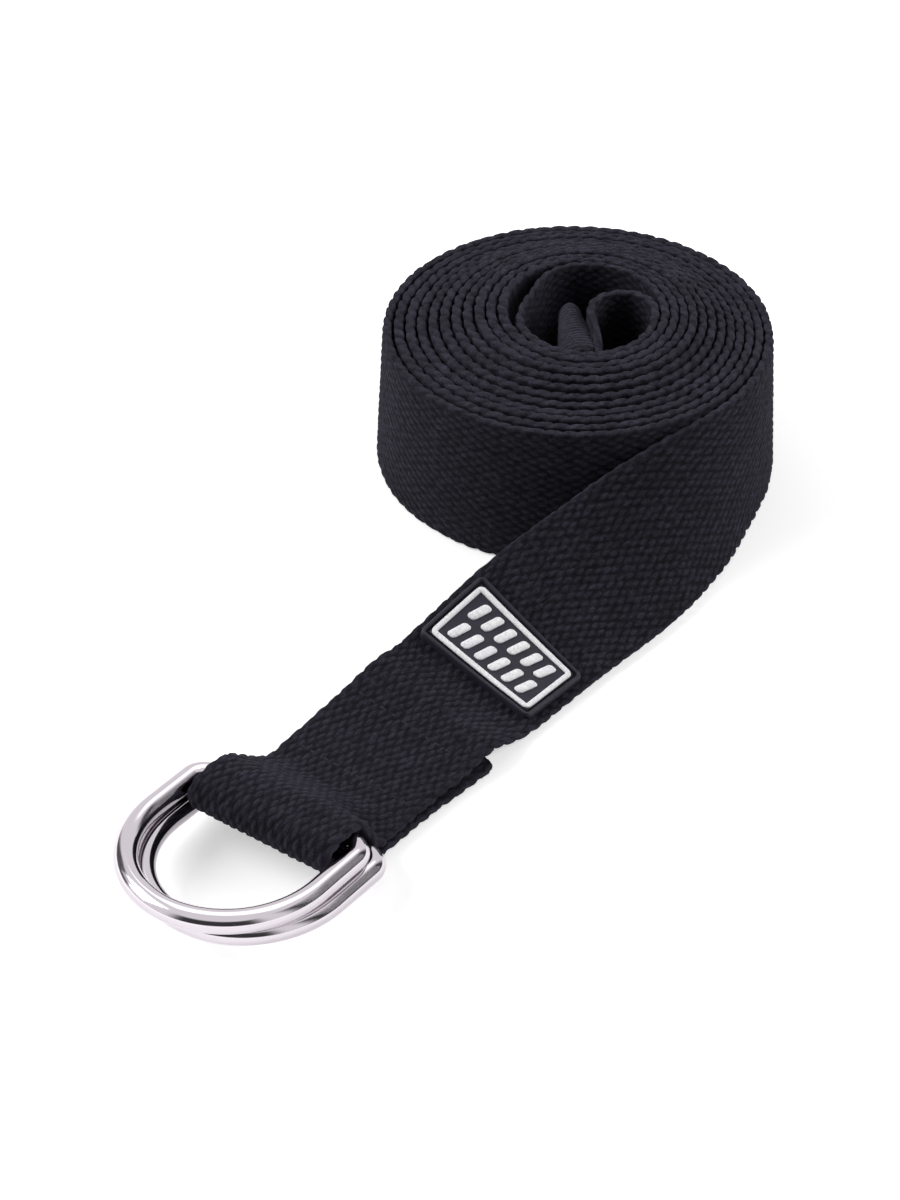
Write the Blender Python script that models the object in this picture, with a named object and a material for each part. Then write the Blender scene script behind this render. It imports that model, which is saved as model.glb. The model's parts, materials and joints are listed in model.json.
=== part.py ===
"""Stretching strap: rolled webbing, sewn end loop, two D-rings and a sewn-on label.

Metres, +Z up.  +X runs along the flat end towards the rings, +Y along the ring bars.
The design is laid out from the roll's centre, then moved so that the origin is the
middle of the underside.
"""
import math

import bpy
import numpy as np

for old in list(bpy.data.objects):
    bpy.data.objects.remove(old, do_unlink=True)

# Webbing
WEB_WIDTH = 0.038
WEB_THICKNESS = 0.002
FIT_GAP = 0.0003

# Roll: whole turns between the core and the place where the end leaves
ROLL_TURNS = 12
CORE_HALF_X = 0.0158
CORE_HALF_Y = 0.0176
TURN_GAP_X = 0.0006
TURN_GAP_Y = 0.00031
CORE_SHIFT_X = 0.0031
CORE_SHIFT_Y = 0.0009
CORE_RISE = 0.0045
CORE_DENT = 0.0032
DENT_AT = 0.57
DENT_SPAN = 0.09
FLAT_TURNS = 1.5
WALL_FLARE = 0.0021
FLARE_TURNS = 4.0
ROLL_BEARING = math.radians(125.5)
LEAVE_ANGLE = math.radians(8.0)
TURN_STEPS = 36

# Free end inside the core: a curl, a straight run and a turned-over hem
CURL_RADIUS = 0.008
CURL_STEPS = 14
INNER_RUN = 0.015
INNER_SLANT = 0.002
HEM_LENGTH = 0.0204
HEM_BACK_RADIUS = 0.003
HEM_FRONT_RADIUS = 0.0049
HEM_STITCH_INSET = 0.004
HEM_STEPS = 8

# Lead from the roll to the loop: plan distance, heading, lean from flat
LEAD_ROUTE = (
    (0.020, 21.3, 86.2),
    (0.040, 3.8, 81.7),
    (0.060, -9.4, 65.5),
    (0.086, -12.9, 40.9),
    (0.106, -11.7, 29.3),
    (0.126, -7.6, 17.2),
    (0.146, -6.6, 8.6),
    (0.166, -5.6, 2.0),
    (0.1777, -1.8, 0.0),
)
LEAD_STEP = 0.004

# Sewn end loop
LOOP_HEIGHT = 0.0144
LOOP_RAMP = 0.021
NOSE_REACH = 0.0046
NOSE_RADIUS = 0.0035
NOSE_UNDERCUT = math.radians(50.0)
HEEL_RADIUS = 0.004
NOSE_STEPS = 12
HEEL_STEPS = 5
FOLD_BACK_LENGTH = 0.0502
FOLD_BACK_SKEW = 0.0004
STEP_UP_RUN = 0.012

# D-rings
RING_WIRE = 0.0054
RING_WIDTH = 0.0398
RING_LENGTH = 0.0409
RING_BOW = 0.0245
RING_CORNER = 0.004
RING_LIFT = math.radians(3.8)
RING_BAR_CLEARANCE = 0.0004
RING_STAGGER = 0.0041
RING_SIDE_OFFSET = 0.0006
UPPER_BAR_SETBACK = 0.001
RING_SIDES = 12
RING_ARC_STEPS = 18
RING_CORNER_STEPS = 5

# Label patch sewn on the lead
LABEL_AT = 0.1229
LABEL_LENGTH = 0.0201
LABEL_ACROSS = 0.0341
LABEL_SHIFT = 0.0002
LABEL_RIM = 0.0011
LABEL_RIM_HEIGHT = 0.0021
LABEL_FIELD_HEIGHT = 0.0014
FRAME_WIDTH = 0.0013
FRAME_HEIGHT = 0.0006
FRAME_INSET = 0.0025

# Thread
THREAD_RADIUS = 0.0003
LABEL_THREAD_RADIUS = 0.0002
STITCH_LENGTH = 0.0032
STITCH_INSET = 0.0025
FRONT_STITCH_AT = 0.004
REAR_STITCH_INSET = 0.006
LABEL_STITCH_INSET = 0.00148


def unit(vectors):
    return vectors / np.linalg.norm(vectors, axis=-1, keepdims=True)


def smooth(value):
    value = np.clip(value, 0.0, 1.0)
    return value * value * (3.0 - 2.0 * value)


def eased(at, knots, values):
    """Cubic curve through the knots with flat-safe slopes."""
    knots = np.asarray(knots, float)
    values = np.asarray(values, float)
    slope = np.gradient(values, knots)
    index = np.clip(np.searchsorted(knots, at, side="right") - 1, 0, len(knots) - 2)
    span = knots[index + 1] - knots[index]
    f = (at - knots[index]) / span
    a = (1.0 + 2.0 * f) * (1.0 - f) ** 2 * values[index]
    b = f * (1.0 - f) ** 2 * span * slope[index]
    c = f * f * (3.0 - 2.0 * f) * values[index + 1]
    d = f * f * (f - 1.0) * span * slope[index + 1]
    return a + b + c + d


# Plan of the roll, from the hem outwards
turn_total = ROLL_TURNS - LEAVE_ANGLE / (2.0 * math.pi)
core_x = CORE_HALF_X + WEB_THICKNESS / 2.0
core_y = CORE_HALF_Y + WEB_THICKNESS / 2.0
pitch_x = WEB_THICKNESS + TURN_GAP_X
pitch_y = WEB_THICKNESS + TURN_GAP_Y
core_shift = np.array((CORE_SHIFT_X, CORE_SHIFT_Y))


def turned(points):
    """Plan of the roll to the axes of the part."""
    c, s = math.cos(ROLL_BEARING), math.sin(ROLL_BEARING)
    return points @ np.array(((c, s), (-s, c)))


def spiral(angle):
    """Middle line of the roll in plan, at an angle counted inwards from the lead."""
    inward = (angle - LEAVE_ANGLE) / (2.0 * math.pi)
    outward = turn_total - inward
    dent = CORE_DENT * np.exp(-((outward - DENT_AT) / DENT_SPAN) ** 2)
    x = core_shift[0] * inward / turn_total + (core_x + pitch_x * outward - dent) * np.cos(angle)
    y = core_shift[1] * inward / turn_total + (core_y + pitch_y * outward - dent) * np.sin(angle)
    return np.stack((x, y), axis=-1)


def rise(angle):
    inward = (angle - LEAVE_ANGLE) / (2.0 * math.pi)
    return CORE_RISE * smooth((inward - FLAT_TURNS) / (turn_total - FLAT_TURNS - 2.0))


def flare(angle):
    """How far the foot of a turn stands out from its top edge."""
    inward = (angle - LEAVE_ANGLE) / (2.0 * math.pi)
    return WALL_FLARE * smooth(1.0 - inward / FLARE_TURNS)


def outward_of(way):
    """Outer side of a plan direction that runs from the core to the lead."""
    return np.stack((-way[..., 1], way[..., 0]), axis=-1)


def standing_frames(plan, base, foot):
    """Frames of webbing that stands on edge along a plan curve of its top edge."""
    outward = outward_of(unit(np.gradient(plan, axis=0)))
    lean = np.arccos(foot / WEB_WIDTH)
    height = base + WEB_WIDTH / 2.0 * np.sin(lean) + WEB_THICKNESS / 2.0 * np.cos(lean)
    centre = np.column_stack((plan + outward * foot[:, None] / 2.0, height))
    tangent = unit(np.gradient(centre, axis=0))
    across = np.column_stack((-outward * np.cos(lean)[:, None], np.sin(lean)))
    across = unit(across - (across * tangent).sum(1, keepdims=True) * tangent)
    return centre, across, np.cross(across, tangent)


inner_angle = ROLL_TURNS * 2.0 * math.pi
steps = int(round(turn_total * TURN_STEPS))
angles = np.linspace(inner_angle, LEAVE_ANGLE, steps + 1)
spiral_plan = spiral(angles)
spiral_base = rise(angles)
curl_centre = spiral_plan[0] - np.array((CURL_RADIUS, 0.0))
curl_turn = np.linspace(math.pi, 0.0, CURL_STEPS + 1)[:-1]
curl_plan = curl_centre + CURL_RADIUS * np.stack((np.cos(curl_turn), np.sin(curl_turn)), axis=-1)
run_plan = curl_plan[0] + np.array((INNER_SLANT, -INNER_RUN)) * np.linspace(1.0, 0.0, 6)[:-1, None]
plan = np.vstack((run_plan, curl_plan, spiral_plan))
inner_points = len(plan) - len(spiral_plan)
base = np.concatenate((np.full(inner_points, CORE_RISE), spiral_base))
foot = np.concatenate((np.zeros(inner_points), flare(angles)))
roll_frames = standing_frames(turned(plan), base, foot)

# Lead: heading and lean along the route give its middle line, as far as the loop's crown
leave = turned(spiral(np.array((LEAVE_ANGLE + 1e-4, LEAVE_ANGLE))))
leave_way = unit(leave[1] - leave[0])
leave_heading = math.degrees(math.atan2(leave_way[1], leave_way[0]))
leave_lean = math.degrees(math.acos(WALL_FLARE / WEB_WIDTH))
lead_length = LEAD_ROUTE[-1][0]
crown_at = lead_length + LOOP_RAMP
fold_back_end = crown_at - FOLD_BACK_LENGTH
route = np.array(((0.0, leave_heading, leave_lean), *LEAD_ROUTE, (crown_at, 0.0, 0.0)))
dense = np.linspace(0.0, crown_at, 401)
heading = np.radians(eased(dense, route[:, 0], route[:, 1]))
lean = np.radians(np.clip(eased(dense, route[:, 0], route[:, 2]), 0.0, 90.0))
layer = WEB_THICKNESS + FIT_GAP
floor = layer * smooth((dense - fold_back_end + STEP_UP_RUN + 0.001) / STEP_UP_RUN)
climb = np.clip((dense - lead_length) / LOOP_RAMP, 0.0, 1.0)
floor = floor + (LOOP_HEIGHT - layer) * (1.0 - np.cos(math.pi * climb)) / 2.0
height = floor + WEB_WIDTH / 2.0 * np.sin(lean) + WEB_THICKNESS / 2.0 * np.cos(lean)
pace = np.stack((np.cos(heading), np.sin(heading)), axis=-1)
hop = (pace[1:] + pace[:-1]) / 2.0 * np.diff(dense)[:, None]
lead_start = leave[1] + outward_of(leave_way) * WALL_FLARE / 2.0
lead_plan = lead_start + np.vstack(((0.0, 0.0), np.cumsum(hop, axis=0)))
right = np.stack((np.sin(heading), -np.cos(heading), np.zeros_like(heading)), axis=-1)
lead_centre = np.column_stack((lead_plan, height))
lead_tangent = unit(np.gradient(lead_centre, axis=0))
lead_across = np.cos(lean)[:, None] * right + np.sin(lean)[:, None] * np.array((0.0, 0.0, 1.0))
lead_across = unit(lead_across - (lead_across * lead_tangent).sum(1, keepdims=True) * lead_tangent)
crown = lead_plan[-1]


def mixed(at, table):
    return np.stack([np.interp(at, dense, table[:, k]) for k in range(3)], axis=-1)


def lead_frames(at):
    """Frames of the lead at the given distances from the roll."""
    at = np.asarray(at, float)
    tangent = unit(mixed(at, lead_tangent))
    across = mixed(at, lead_across)
    across = unit(across - (across * tangent).sum(-1, keepdims=True) * tangent)
    return mixed(at, lead_centre), across, np.cross(across, tangent)


def on_lead(at, across, up):
    """Point above the outer face of the lead."""
    centre, wide, normal = lead_frames(at)
    across = np.asarray(across, float)[..., None]
    up = np.asarray(up, float)[..., None]
    return centre + across * wide + (WEB_THICKNESS / 2.0 + up) * normal


def past_crown(x, z):
    """Point at a distance past the loop's crown, on the strap's middle line."""
    x, z = np.broadcast_arrays(np.asarray(x, float), np.asarray(z, float))
    return np.stack((crown[0] + x, np.full(x.shape, crown[1]), z), axis=-1)


def frames_along(centre, across):
    tangent = unit(np.gradient(centre, axis=0))
    across = unit(across - (across * tangent).sum(1, keepdims=True) * tangent)
    return centre, across, np.cross(across, tangent)


def make(name, points, faces, material, smooth_faces=False, origin=(0.0, 0.0, 0.0)):
    mesh = bpy.data.meshes.new(name)
    mesh.from_pydata([tuple(p) for p in np.asarray(points) - np.asarray(origin)], [], faces)
    mesh.materials.append(material)
    mesh.polygons.foreach_set("use_smooth", [smooth_faces] * len(mesh.polygons))
    mesh.update()
    obj = bpy.data.objects.new(name, mesh)
    obj.location = origin
    bpy.context.scene.collection.objects.link(obj)
    obj.parent = root
    return obj


def ribbon(name, frames, material):
    """Closed strip of webbing along a row of frames."""
    centre, across, normal = frames
    a = across * WEB_WIDTH / 2.0
    n = normal * WEB_THICKNESS / 2.0
    corners = (centre - a - n, centre + a - n, centre + a + n, centre - a + n)
    points = np.stack(corners, axis=1).reshape(-1, 3)
    faces = []
    last = len(centre) - 1
    for i in range(last):
        p, q = 4 * i, 4 * i + 4
        for k in range(4):
            j = (k + 1) % 4
            faces.append((p + j, p + k, q + k, q + j))
    faces.append((0, 1, 2, 3))
    faces.append((4 * last + 3, 4 * last + 2, 4 * last + 1, 4 * last))
    return make(name, points, faces, material)


def tube(name, rings, closed, material, origin=(0.0, 0.0, 0.0), smooth_faces=True):
    """Closed body through rows of points, each row one cross-section."""
    rings = np.asarray(rings)
    count, sides = rings.shape[:2]
    faces = []
    for i in range(count if closed else count - 1):
        p, q = sides * i, sides * ((i + 1) % count)
        for k in range(sides):
            j = (k + 1) % sides
            faces.append((p + k, p + j, q + j, q + k))
    if not closed:
        faces.append(tuple(range(sides - 1, -1, -1)))
        faces.append(tuple(range(sides * (count - 1), sides * count)))
    return make(name, rings.reshape(-1, 3), faces, material, smooth_faces, origin)


def colour(name, rgb, metallic, roughness):
    material = bpy.data.materials.new(name)
    material.use_nodes = True
    shader = material.node_tree.nodes["Principled BSDF"]
    shader.inputs["Base Color"].default_value = (*rgb, 1.0)
    shader.inputs["Metallic"].default_value = metallic
    shader.inputs["Roughness"].default_value = roughness
    material.diffuse_color = (*rgb, 1.0)
    return material


root = bpy.data.objects.new("strap_root", None)
bpy.context.scene.collection.objects.link(root)
web_black = colour("webbing_black", (0.012, 0.012, 0.018), 0.0, 0.85)
hem_grey = colour("hem_grey", (0.05, 0.05, 0.06), 0.0, 0.8)
ring_nickel = colour("ring_nickel", (0.78, 0.77, 0.8), 1.0, 0.12)
label_grey = colour("label_grey", (0.03, 0.03, 0.035), 0.0, 0.5)
label_white = colour("label_white", (0.85, 0.85, 0.87), 0.0, 0.5)
thread_black = colour("thread_black", (0.02, 0.02, 0.025), 0.0, 0.7)

# Webbing pieces
ribbon("webbing_roll", roll_frames, web_black)
lead_at = np.linspace(FIT_GAP, lead_length - FIT_GAP, int(round(lead_length / LEAD_STEP)) + 1)
ribbon("webbing_lead", lead_frames(lead_at), web_black)
ramp_at = np.linspace(lead_length + FIT_GAP, crown_at, 13)
ramp = lead_frames(ramp_at)[0]
bend = np.linspace(math.pi / 2.0, -NOSE_UNDERCUT, NOSE_STEPS + 1)
nose_height = LOOP_HEIGHT + WEB_THICKNESS / 2.0 - NOSE_RADIUS
nose = past_crown(NOSE_REACH + NOSE_RADIUS * np.cos(bend), nose_height + NOSE_RADIUS * np.sin(bend))
slope = math.pi / 2.0 - NOSE_UNDERCUT
heel_top = WEB_THICKNESS / 2.0 + HEEL_RADIUS * (1.0 - math.cos(slope))
heel_run = (nose[-1, 2] - heel_top) / math.tan(slope)
heel_turn = np.linspace(slope, 0.0, HEEL_STEPS + 1)
heel_x = nose[-1, 0] - crown[0] - heel_run - HEEL_RADIUS * (math.sin(slope) - np.sin(heel_turn))
heel = past_crown(heel_x, WEB_THICKNESS / 2.0 + HEEL_RADIUS * (1.0 - np.cos(heel_turn)))
slack = nose[-1] + (heel[0] - nose[-1]) * np.array((0.33, 0.67))[:, None]
wrap = np.vstack((nose, slack, heel))
loop_middle = np.vstack((ramp, wrap))
to_right = np.tile((0.0, -1.0, 0.0), (len(loop_middle), 1))
to_right[:len(ramp)] = mixed(ramp_at, right)
ribbon("webbing_fold", frames_along(loop_middle, to_right), web_black)

# The fold-back lies on the floor under the ramp and the end of the lead
heel_at = crown_at + heel_x[-1]
under_at = np.linspace(heel_at - 2.0 * FIT_GAP, fold_back_end, 12)
under_right = mixed(under_at, right)
under_share = (heel_at - under_at) / FOLD_BACK_LENGTH
under_middle = mixed(under_at, lead_centre) - (under_share * FOLD_BACK_SKEW)[:, None] * under_right
under_middle[:, 2] = WEB_THICKNESS / 2.0
under_down = np.tile((0.0, 0.0, -1.0), (len(under_at), 1))
ribbon("webbing_fold_back", (under_middle, under_right, under_down), web_black)

# Hem: the free end turned over on itself, a fat fold beside the last run
run_length = math.hypot(INNER_SLANT, INNER_RUN)
hem_way = unit(np.array((INNER_SLANT, -INNER_RUN)))
hem_left = -outward_of(hem_way)
hem_start = curl_plan[0] + hem_left * (WEB_THICKNESS / 2.0 + FIT_GAP)
hem_back = np.array((run_length - HEM_LENGTH + HEM_BACK_RADIUS, HEM_BACK_RADIUS))
hem_front = np.array((run_length - HEM_FRONT_RADIUS, HEM_FRONT_RADIUS))
hem_side = math.pi / 2.0 + 2.0 * math.atan2(hem_front[1] - hem_back[1], hem_front[0] - hem_back[0])


def hem_plan(points):
    """Points along and beside the last run, to the axes of the part."""
    points = np.asarray(points)
    return turned(hem_start + points[..., :1] * hem_way + points[..., 1:] * hem_left)


def arc(centre, radius, first, last):
    turn = np.linspace(first, last, HEM_STEPS + 1)
    return centre + radius * np.stack((np.cos(turn), np.sin(turn)), axis=-1)


hem_outline = hem_plan(np.vstack((
    arc(hem_back, HEM_BACK_RADIUS, -math.pi / 2.0, hem_side - 2.0 * math.pi),
    arc(hem_front, HEM_FRONT_RADIUS, hem_side, -math.pi / 2.0),
)))
hem_levels = np.array((CORE_RISE, CORE_RISE + WEB_WIDTH))
hem_rings = np.stack([np.column_stack((hem_outline, np.full(len(hem_outline), z))) for z in hem_levels])
tube("webbing_hem", hem_rings, False, hem_grey, smooth_faces=False)


def ring_path():
    """Middle line of a D-ring: bar on Y through the origin, bow towards +X."""
    r = (RING_WIDTH + RING_WIRE) / 2.0
    c = RING_CORNER
    corner = np.linspace(0.0, math.pi / 2.0, RING_CORNER_STEPS + 1)
    bow = np.linspace(math.pi / 2.0, -math.pi / 2.0, RING_ARC_STEPS + 1)
    shoulder = RING_LENGTH - RING_BOW
    bar = np.stack((np.zeros(4), np.linspace(c - r, r - c, 6)[1:-1]), axis=-1)
    left = np.stack((c - c * np.cos(corner), r - c + c * np.sin(corner)), axis=-1)
    bend = np.stack((shoulder + RING_BOW * np.cos(bow), r * np.sin(bow)), axis=-1)
    back = left[::-1] * np.array((1.0, -1.0))
    return np.vstack((bar, left, bend, back))


def d_ring(name, origin, lift):
    """D-ring with its origin on the middle of its bar and its bow lifted."""
    path = ring_path()
    way = unit(np.roll(path, -1, axis=0) - np.roll(path, 1, axis=0))
    side = np.stack((way[:, 1], -way[:, 0]), axis=-1)
    turn = np.linspace(0.0, 2.0 * math.pi, RING_SIDES + 1)[:-1]
    flat = path[:, None] + RING_WIRE / 2.0 * np.cos(turn)[None, :, None] * side[:, None]
    up = np.broadcast_to(RING_WIRE / 2.0 * np.sin(turn), flat.shape[:2])
    x = flat[..., 0] * math.cos(lift) - up * math.sin(lift)
    z = up * math.cos(lift) + flat[..., 0] * math.sin(lift)
    rings = np.stack((x, flat[..., 1], z), axis=-1)
    return tube(name, rings[:, ::-1] + np.asarray(origin), True, ring_nickel, origin)


lower_height = WEB_THICKNESS + RING_BAR_CLEARANCE + RING_WIRE / 2.0
upper_rise = (RING_WIRE + FIT_GAP) / math.cos(RING_LIFT) + RING_STAGGER * math.tan(RING_LIFT)
upper_origin = past_crown(-UPPER_BAR_SETBACK, lower_height + upper_rise)
lower_origin = past_crown(-UPPER_BAR_SETBACK - RING_STAGGER, lower_height)
upper_origin[1] -= RING_SIDE_OFFSET
lower_origin[1] += RING_SIDE_OFFSET
d_ring("d_ring_upper", upper_origin, RING_LIFT)
d_ring("d_ring_lower", lower_origin, RING_LIFT)

# Label patch: follows the face of the lead, with a raised rim round a lower field
rim = (0.0, LABEL_RIM * 0.3, LABEL_RIM * 0.75, LABEL_RIM)
rim_up = (LABEL_FIELD_HEIGHT, LABEL_RIM_HEIGHT, LABEL_RIM_HEIGHT, LABEL_FIELD_HEIGHT)


def label_lines(length, inner):
    edge = np.array(rim)
    middle = np.linspace(LABEL_RIM, length - LABEL_RIM, inner + 1)[1:-1]
    return np.concatenate((edge, middle, length - edge[::-1]))


label_d = label_lines(LABEL_LENGTH, 4)
label_v = label_lines(LABEL_ACROSS, 6)
inset_d = np.minimum(label_d, LABEL_LENGTH - label_d)
inset_v = np.minimum(label_v, LABEL_ACROSS - label_v)
inset = np.minimum.outer(inset_d, inset_v)
label_up = FIT_GAP + np.interp(inset, rim, rim_up)
grid_d, grid_v = np.meshgrid(LABEL_AT - LABEL_LENGTH / 2.0 + label_d,
                             LABEL_SHIFT - LABEL_ACROSS / 2.0 + label_v, indexing="ij")
label_top = on_lead(grid_d, grid_v, label_up)
label_low = on_lead(grid_d, grid_v, np.full_like(grid_d, FIT_GAP))
rows, cols = grid_d.shape
label_points = np.vstack((label_top.reshape(-1, 3), label_low.reshape(-1, 3)))
label_faces = []
below = rows * cols
for i in range(rows - 1):
    for j in range(cols - 1):
        a, b = i * cols + j, (i + 1) * cols + j
        label_faces.append((a, a + 1, b + 1, b))
        label_faces.append((below + a, below + b, below + b + 1, below + a + 1))
border = [(0, j) for j in range(cols - 1)] + [(i, cols - 1) for i in range(rows - 1)]
border += [(rows - 1, j) for j in range(cols - 1, 0, -1)] + [(i, 0) for i in range(rows - 1, 0, -1)]
for k, (i, j) in enumerate(border):
    m, n = border[(k + 1) % len(border)]
    a, b = i * cols + j, m * cols + n
    label_faces.append((a, below + a, below + b, b))
make("label_patch", label_points, label_faces, label_grey)


def label_loop(inset_by, per_side):
    """Rectangular route on the label field: along, across and corner direction."""
    d = LABEL_LENGTH / 2.0 - inset_by
    v = LABEL_ACROSS / 2.0 - inset_by
    corners = np.array(((-d, -v), (d, -v), (d, v), (-d, v)))
    points, outward = [], []
    for k in range(4):
        start, stop = corners[k], corners[(k + 1) % 4]
        way = (stop - start) / np.linalg.norm(stop - start)
        side = np.array((way[1], -way[0]))
        for m in range(per_side):
            points.append(start + (stop - start) * m / per_side)
            outward.append(np.sign(start) if m == 0 else side)
    return np.array(points) + np.array((LABEL_AT, LABEL_SHIFT)), np.array(outward)


route_dv, out_dv = label_loop(FRAME_INSET, 5)
field = FIT_GAP + LABEL_FIELD_HEIGHT + FIT_GAP
bars = []
for wide, up in ((0.5, 0.0), (0.5, 1.0), (-0.5, 1.0), (-0.5, 0.0)):
    at = route_dv + out_dv * wide * FRAME_WIDTH
    bars.append(on_lead(at[:, 0], at[:, 1], np.full(len(at), field + up * FRAME_HEIGHT)))
tube("label_frame", np.stack(bars, axis=1), True, label_white, smooth_faces=False)

# Thread rows: one continuous thread each, dipping between stitches
thread_turn = np.linspace(0.0, 2.0 * math.pi, 7)[:-1]


def thread(name, middle, up, closed, radius=THREAD_RADIUS):
    if closed:
        way = unit(np.roll(middle, -1, axis=0) - np.roll(middle, 1, axis=0))
    else:
        way = unit(np.gradient(middle, axis=0))
    up = unit(up - (up * way).sum(1, keepdims=True) * way)
    side = np.cross(way, up)
    rings = (middle[:, None]
             + radius * np.cos(thread_turn)[None, :, None] * side[:, None]
             + radius * np.sin(thread_turn)[None, :, None] * up[:, None])
    return tube(name, rings[:, ::-1], closed, thread_black)


def crossing(at):
    """Thread route straight across the lead at one distance from the roll."""
    width = WEB_WIDTH - 2.0 * STITCH_INSET
    count = max(2, int(round(width / STITCH_LENGTH))) * 4
    v = np.linspace(-width / 2.0, width / 2.0, count + 1)
    bob = THREAD_RADIUS * 0.5 * (1.0 - np.cos(np.arange(count + 1) * math.pi / 2.0))
    d = np.full_like(v, at)
    up = FIT_GAP + THREAD_RADIUS + bob
    return on_lead(d, v, up), lead_frames(d)[2]


thread("fold_stitch_front", *crossing(lead_length - FRONT_STITCH_AT), closed=False)
thread("fold_stitch_rear", *crossing(fold_back_end + REAR_STITCH_INSET), closed=False)
stitch_dv, _ = label_loop(LABEL_STITCH_INSET, 16)
stitch_bob = LABEL_THREAD_RADIUS * 0.5 * (1.0 - np.cos(np.arange(len(stitch_dv)) * math.pi / 2.0))
stitch_up = field + LABEL_THREAD_RADIUS + stitch_bob
thread("label_stitching", on_lead(stitch_dv[:, 0], stitch_dv[:, 1], stitch_up),
       lead_frames(stitch_dv[:, 0])[2], closed=True, radius=LABEL_THREAD_RADIUS)
hem_count = max(2, int(round((WEB_WIDTH - 2.0 * STITCH_INSET) / STITCH_LENGTH))) * 4
hem_z = np.linspace(STITCH_INSET, WEB_WIDTH - STITCH_INSET, hem_count + 1)
hem_bob = THREAD_RADIUS * 0.5 * (1.0 - np.cos(np.arange(hem_count + 1) * math.pi / 2.0))
hem_out = np.array((math.cos(hem_side), math.sin(hem_side)))
hem_along = np.array((math.sin(hem_side), -math.cos(hem_side)))
hem_spot = hem_back + HEM_BACK_RADIUS * hem_out + HEM_STITCH_INSET * hem_along
hem_route = hem_plan(hem_spot + (FIT_GAP + THREAD_RADIUS + hem_bob)[:, None] * hem_out)
hem_face = np.append(hem_plan(hem_out) - hem_plan(np.zeros(2)), 0.0)
thread("hem_stitching", np.column_stack((hem_route, CORE_RISE + hem_z)),
       np.tile(hem_face, (hem_count + 1, 1)), closed=False)

# Origin to the middle of the underside
bpy.context.view_layer.update()
corners = np.vstack([[obj.matrix_world @ v.co for v in obj.data.vertices]
                     for obj in bpy.data.objects if obj.type == "MESH"])
low, high = corners.min(axis=0), corners.max(axis=0)
root.location = (-(low[0] + high[0]) / 2.0, -(low[1] + high[1]) / 2.0, -low[2])
bpy.context.view_layer.update()
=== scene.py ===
"""Looks of the stretching strap: woven webbing, nickel D-rings and a moulded label.

Metres, in the part's own frame: +X along the flat end towards the rings, +Y along the
ring bars, +Z up. The strap's route is laid out from the roll's centre and then moved
to where the frame has it.
"""

import json
import math

import bpy
import numpy as np
from mathutils import Matrix, Vector

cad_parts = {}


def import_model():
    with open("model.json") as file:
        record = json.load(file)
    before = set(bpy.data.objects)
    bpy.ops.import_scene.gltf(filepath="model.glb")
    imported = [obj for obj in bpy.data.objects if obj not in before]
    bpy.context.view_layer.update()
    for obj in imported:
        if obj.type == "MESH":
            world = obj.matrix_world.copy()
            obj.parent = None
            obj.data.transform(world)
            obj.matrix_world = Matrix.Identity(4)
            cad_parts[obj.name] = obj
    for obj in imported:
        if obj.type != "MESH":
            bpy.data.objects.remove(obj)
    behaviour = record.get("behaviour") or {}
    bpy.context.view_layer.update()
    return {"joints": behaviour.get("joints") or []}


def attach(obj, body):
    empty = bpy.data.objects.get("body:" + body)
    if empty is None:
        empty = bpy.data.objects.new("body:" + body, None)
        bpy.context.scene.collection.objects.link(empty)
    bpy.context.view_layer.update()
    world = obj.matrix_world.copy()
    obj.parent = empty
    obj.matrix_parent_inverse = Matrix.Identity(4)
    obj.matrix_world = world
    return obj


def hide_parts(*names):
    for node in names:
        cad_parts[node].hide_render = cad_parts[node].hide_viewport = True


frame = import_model()

# Webbing
WEB_WIDTH = 0.038
WEB_THICKNESS = 0.002
FIT_GAP = 0.0003

# Roll, with a core that lies a little off its middle
ROLL_TURNS = 12
CORE_HALF_X = 0.0158
CORE_HALF_Y = 0.0176
TURN_GAP_X = 0.0006
TURN_GAP_Y = 0.00031
CORE_SHIFT_X = 0.0031
CORE_SHIFT_Y = 0.0009
CORE_RISE = 0.0045
CORE_DENT = 0.0032
DENT_AT = 0.57
DENT_SPAN = 0.09
FLAT_TURNS = 1.5
LEVEL_TURNS = 2.0
WALL_FLARE = 0.0021
FLARE_TURNS = 4.0
ROLL_BEARING = math.radians(125.5)
LEAVE_ANGLE = math.radians(8.0)
LEAVE_STEP = 1e-4
TURN_STEPS = 144

# Free end inside the core
CURL_RADIUS = 0.008
CURL_STEPS = 40
INNER_RUN = 0.015
INNER_SLANT = 0.002
INNER_STEPS = 12
HEM_LENGTH = 0.0224
HEM_BACK_RADIUS = 0.003
HEM_FRONT_RADIUS = 0.0044
HEM_STITCH_INSET = 0.004
RUN_SINK = 0.0052
RUN_SINK_EASE = 1.3

# Lead: plan distance, heading, lean from flat
LEAD_ROUTE = (
    (0.020, 21.3, 86.2),
    (0.040, 3.8, 81.7),
    (0.060, -9.4, 65.5),
    (0.086, -12.9, 40.9),
    (0.106, -11.7, 29.3),
    (0.126, -7.6, 17.2),
    (0.146, -6.6, 8.6),
    (0.166, -5.6, 2.0),
    (0.1777, -1.8, 0.0),
)
LEAD_STEPS = 400

# Sewn end loop
LOOP_HEIGHT = 0.0144
LOOP_RAMP = 0.021
NOSE_REACH = 0.0046
NOSE_RADIUS = 0.0035
NOSE_UNDERCUT = math.radians(50.0)
HEEL_RADIUS = 0.004
FOLD_BACK_LENGTH = 0.0502
FOLD_BACK_SKEW = 0.0014
FOLD_BACK_MORE = 0.001
FOLD_BACK_CORNER = 0.0016
STEP_UP_RUN = 0.012
STEP_UP_EARLY = 0.001
TAB_LIFT = 0.0018
TAB_SPAN = 0.009
TAB_BEFORE = 0.003
DROP_BEHIND = 0.0045
DROP_RUN = 0.008
DROP_ACROSS = 0.003
LOOP_STEPS = 24
CROWN_POINTS = 4
UNDER_POINTS = 40

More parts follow.
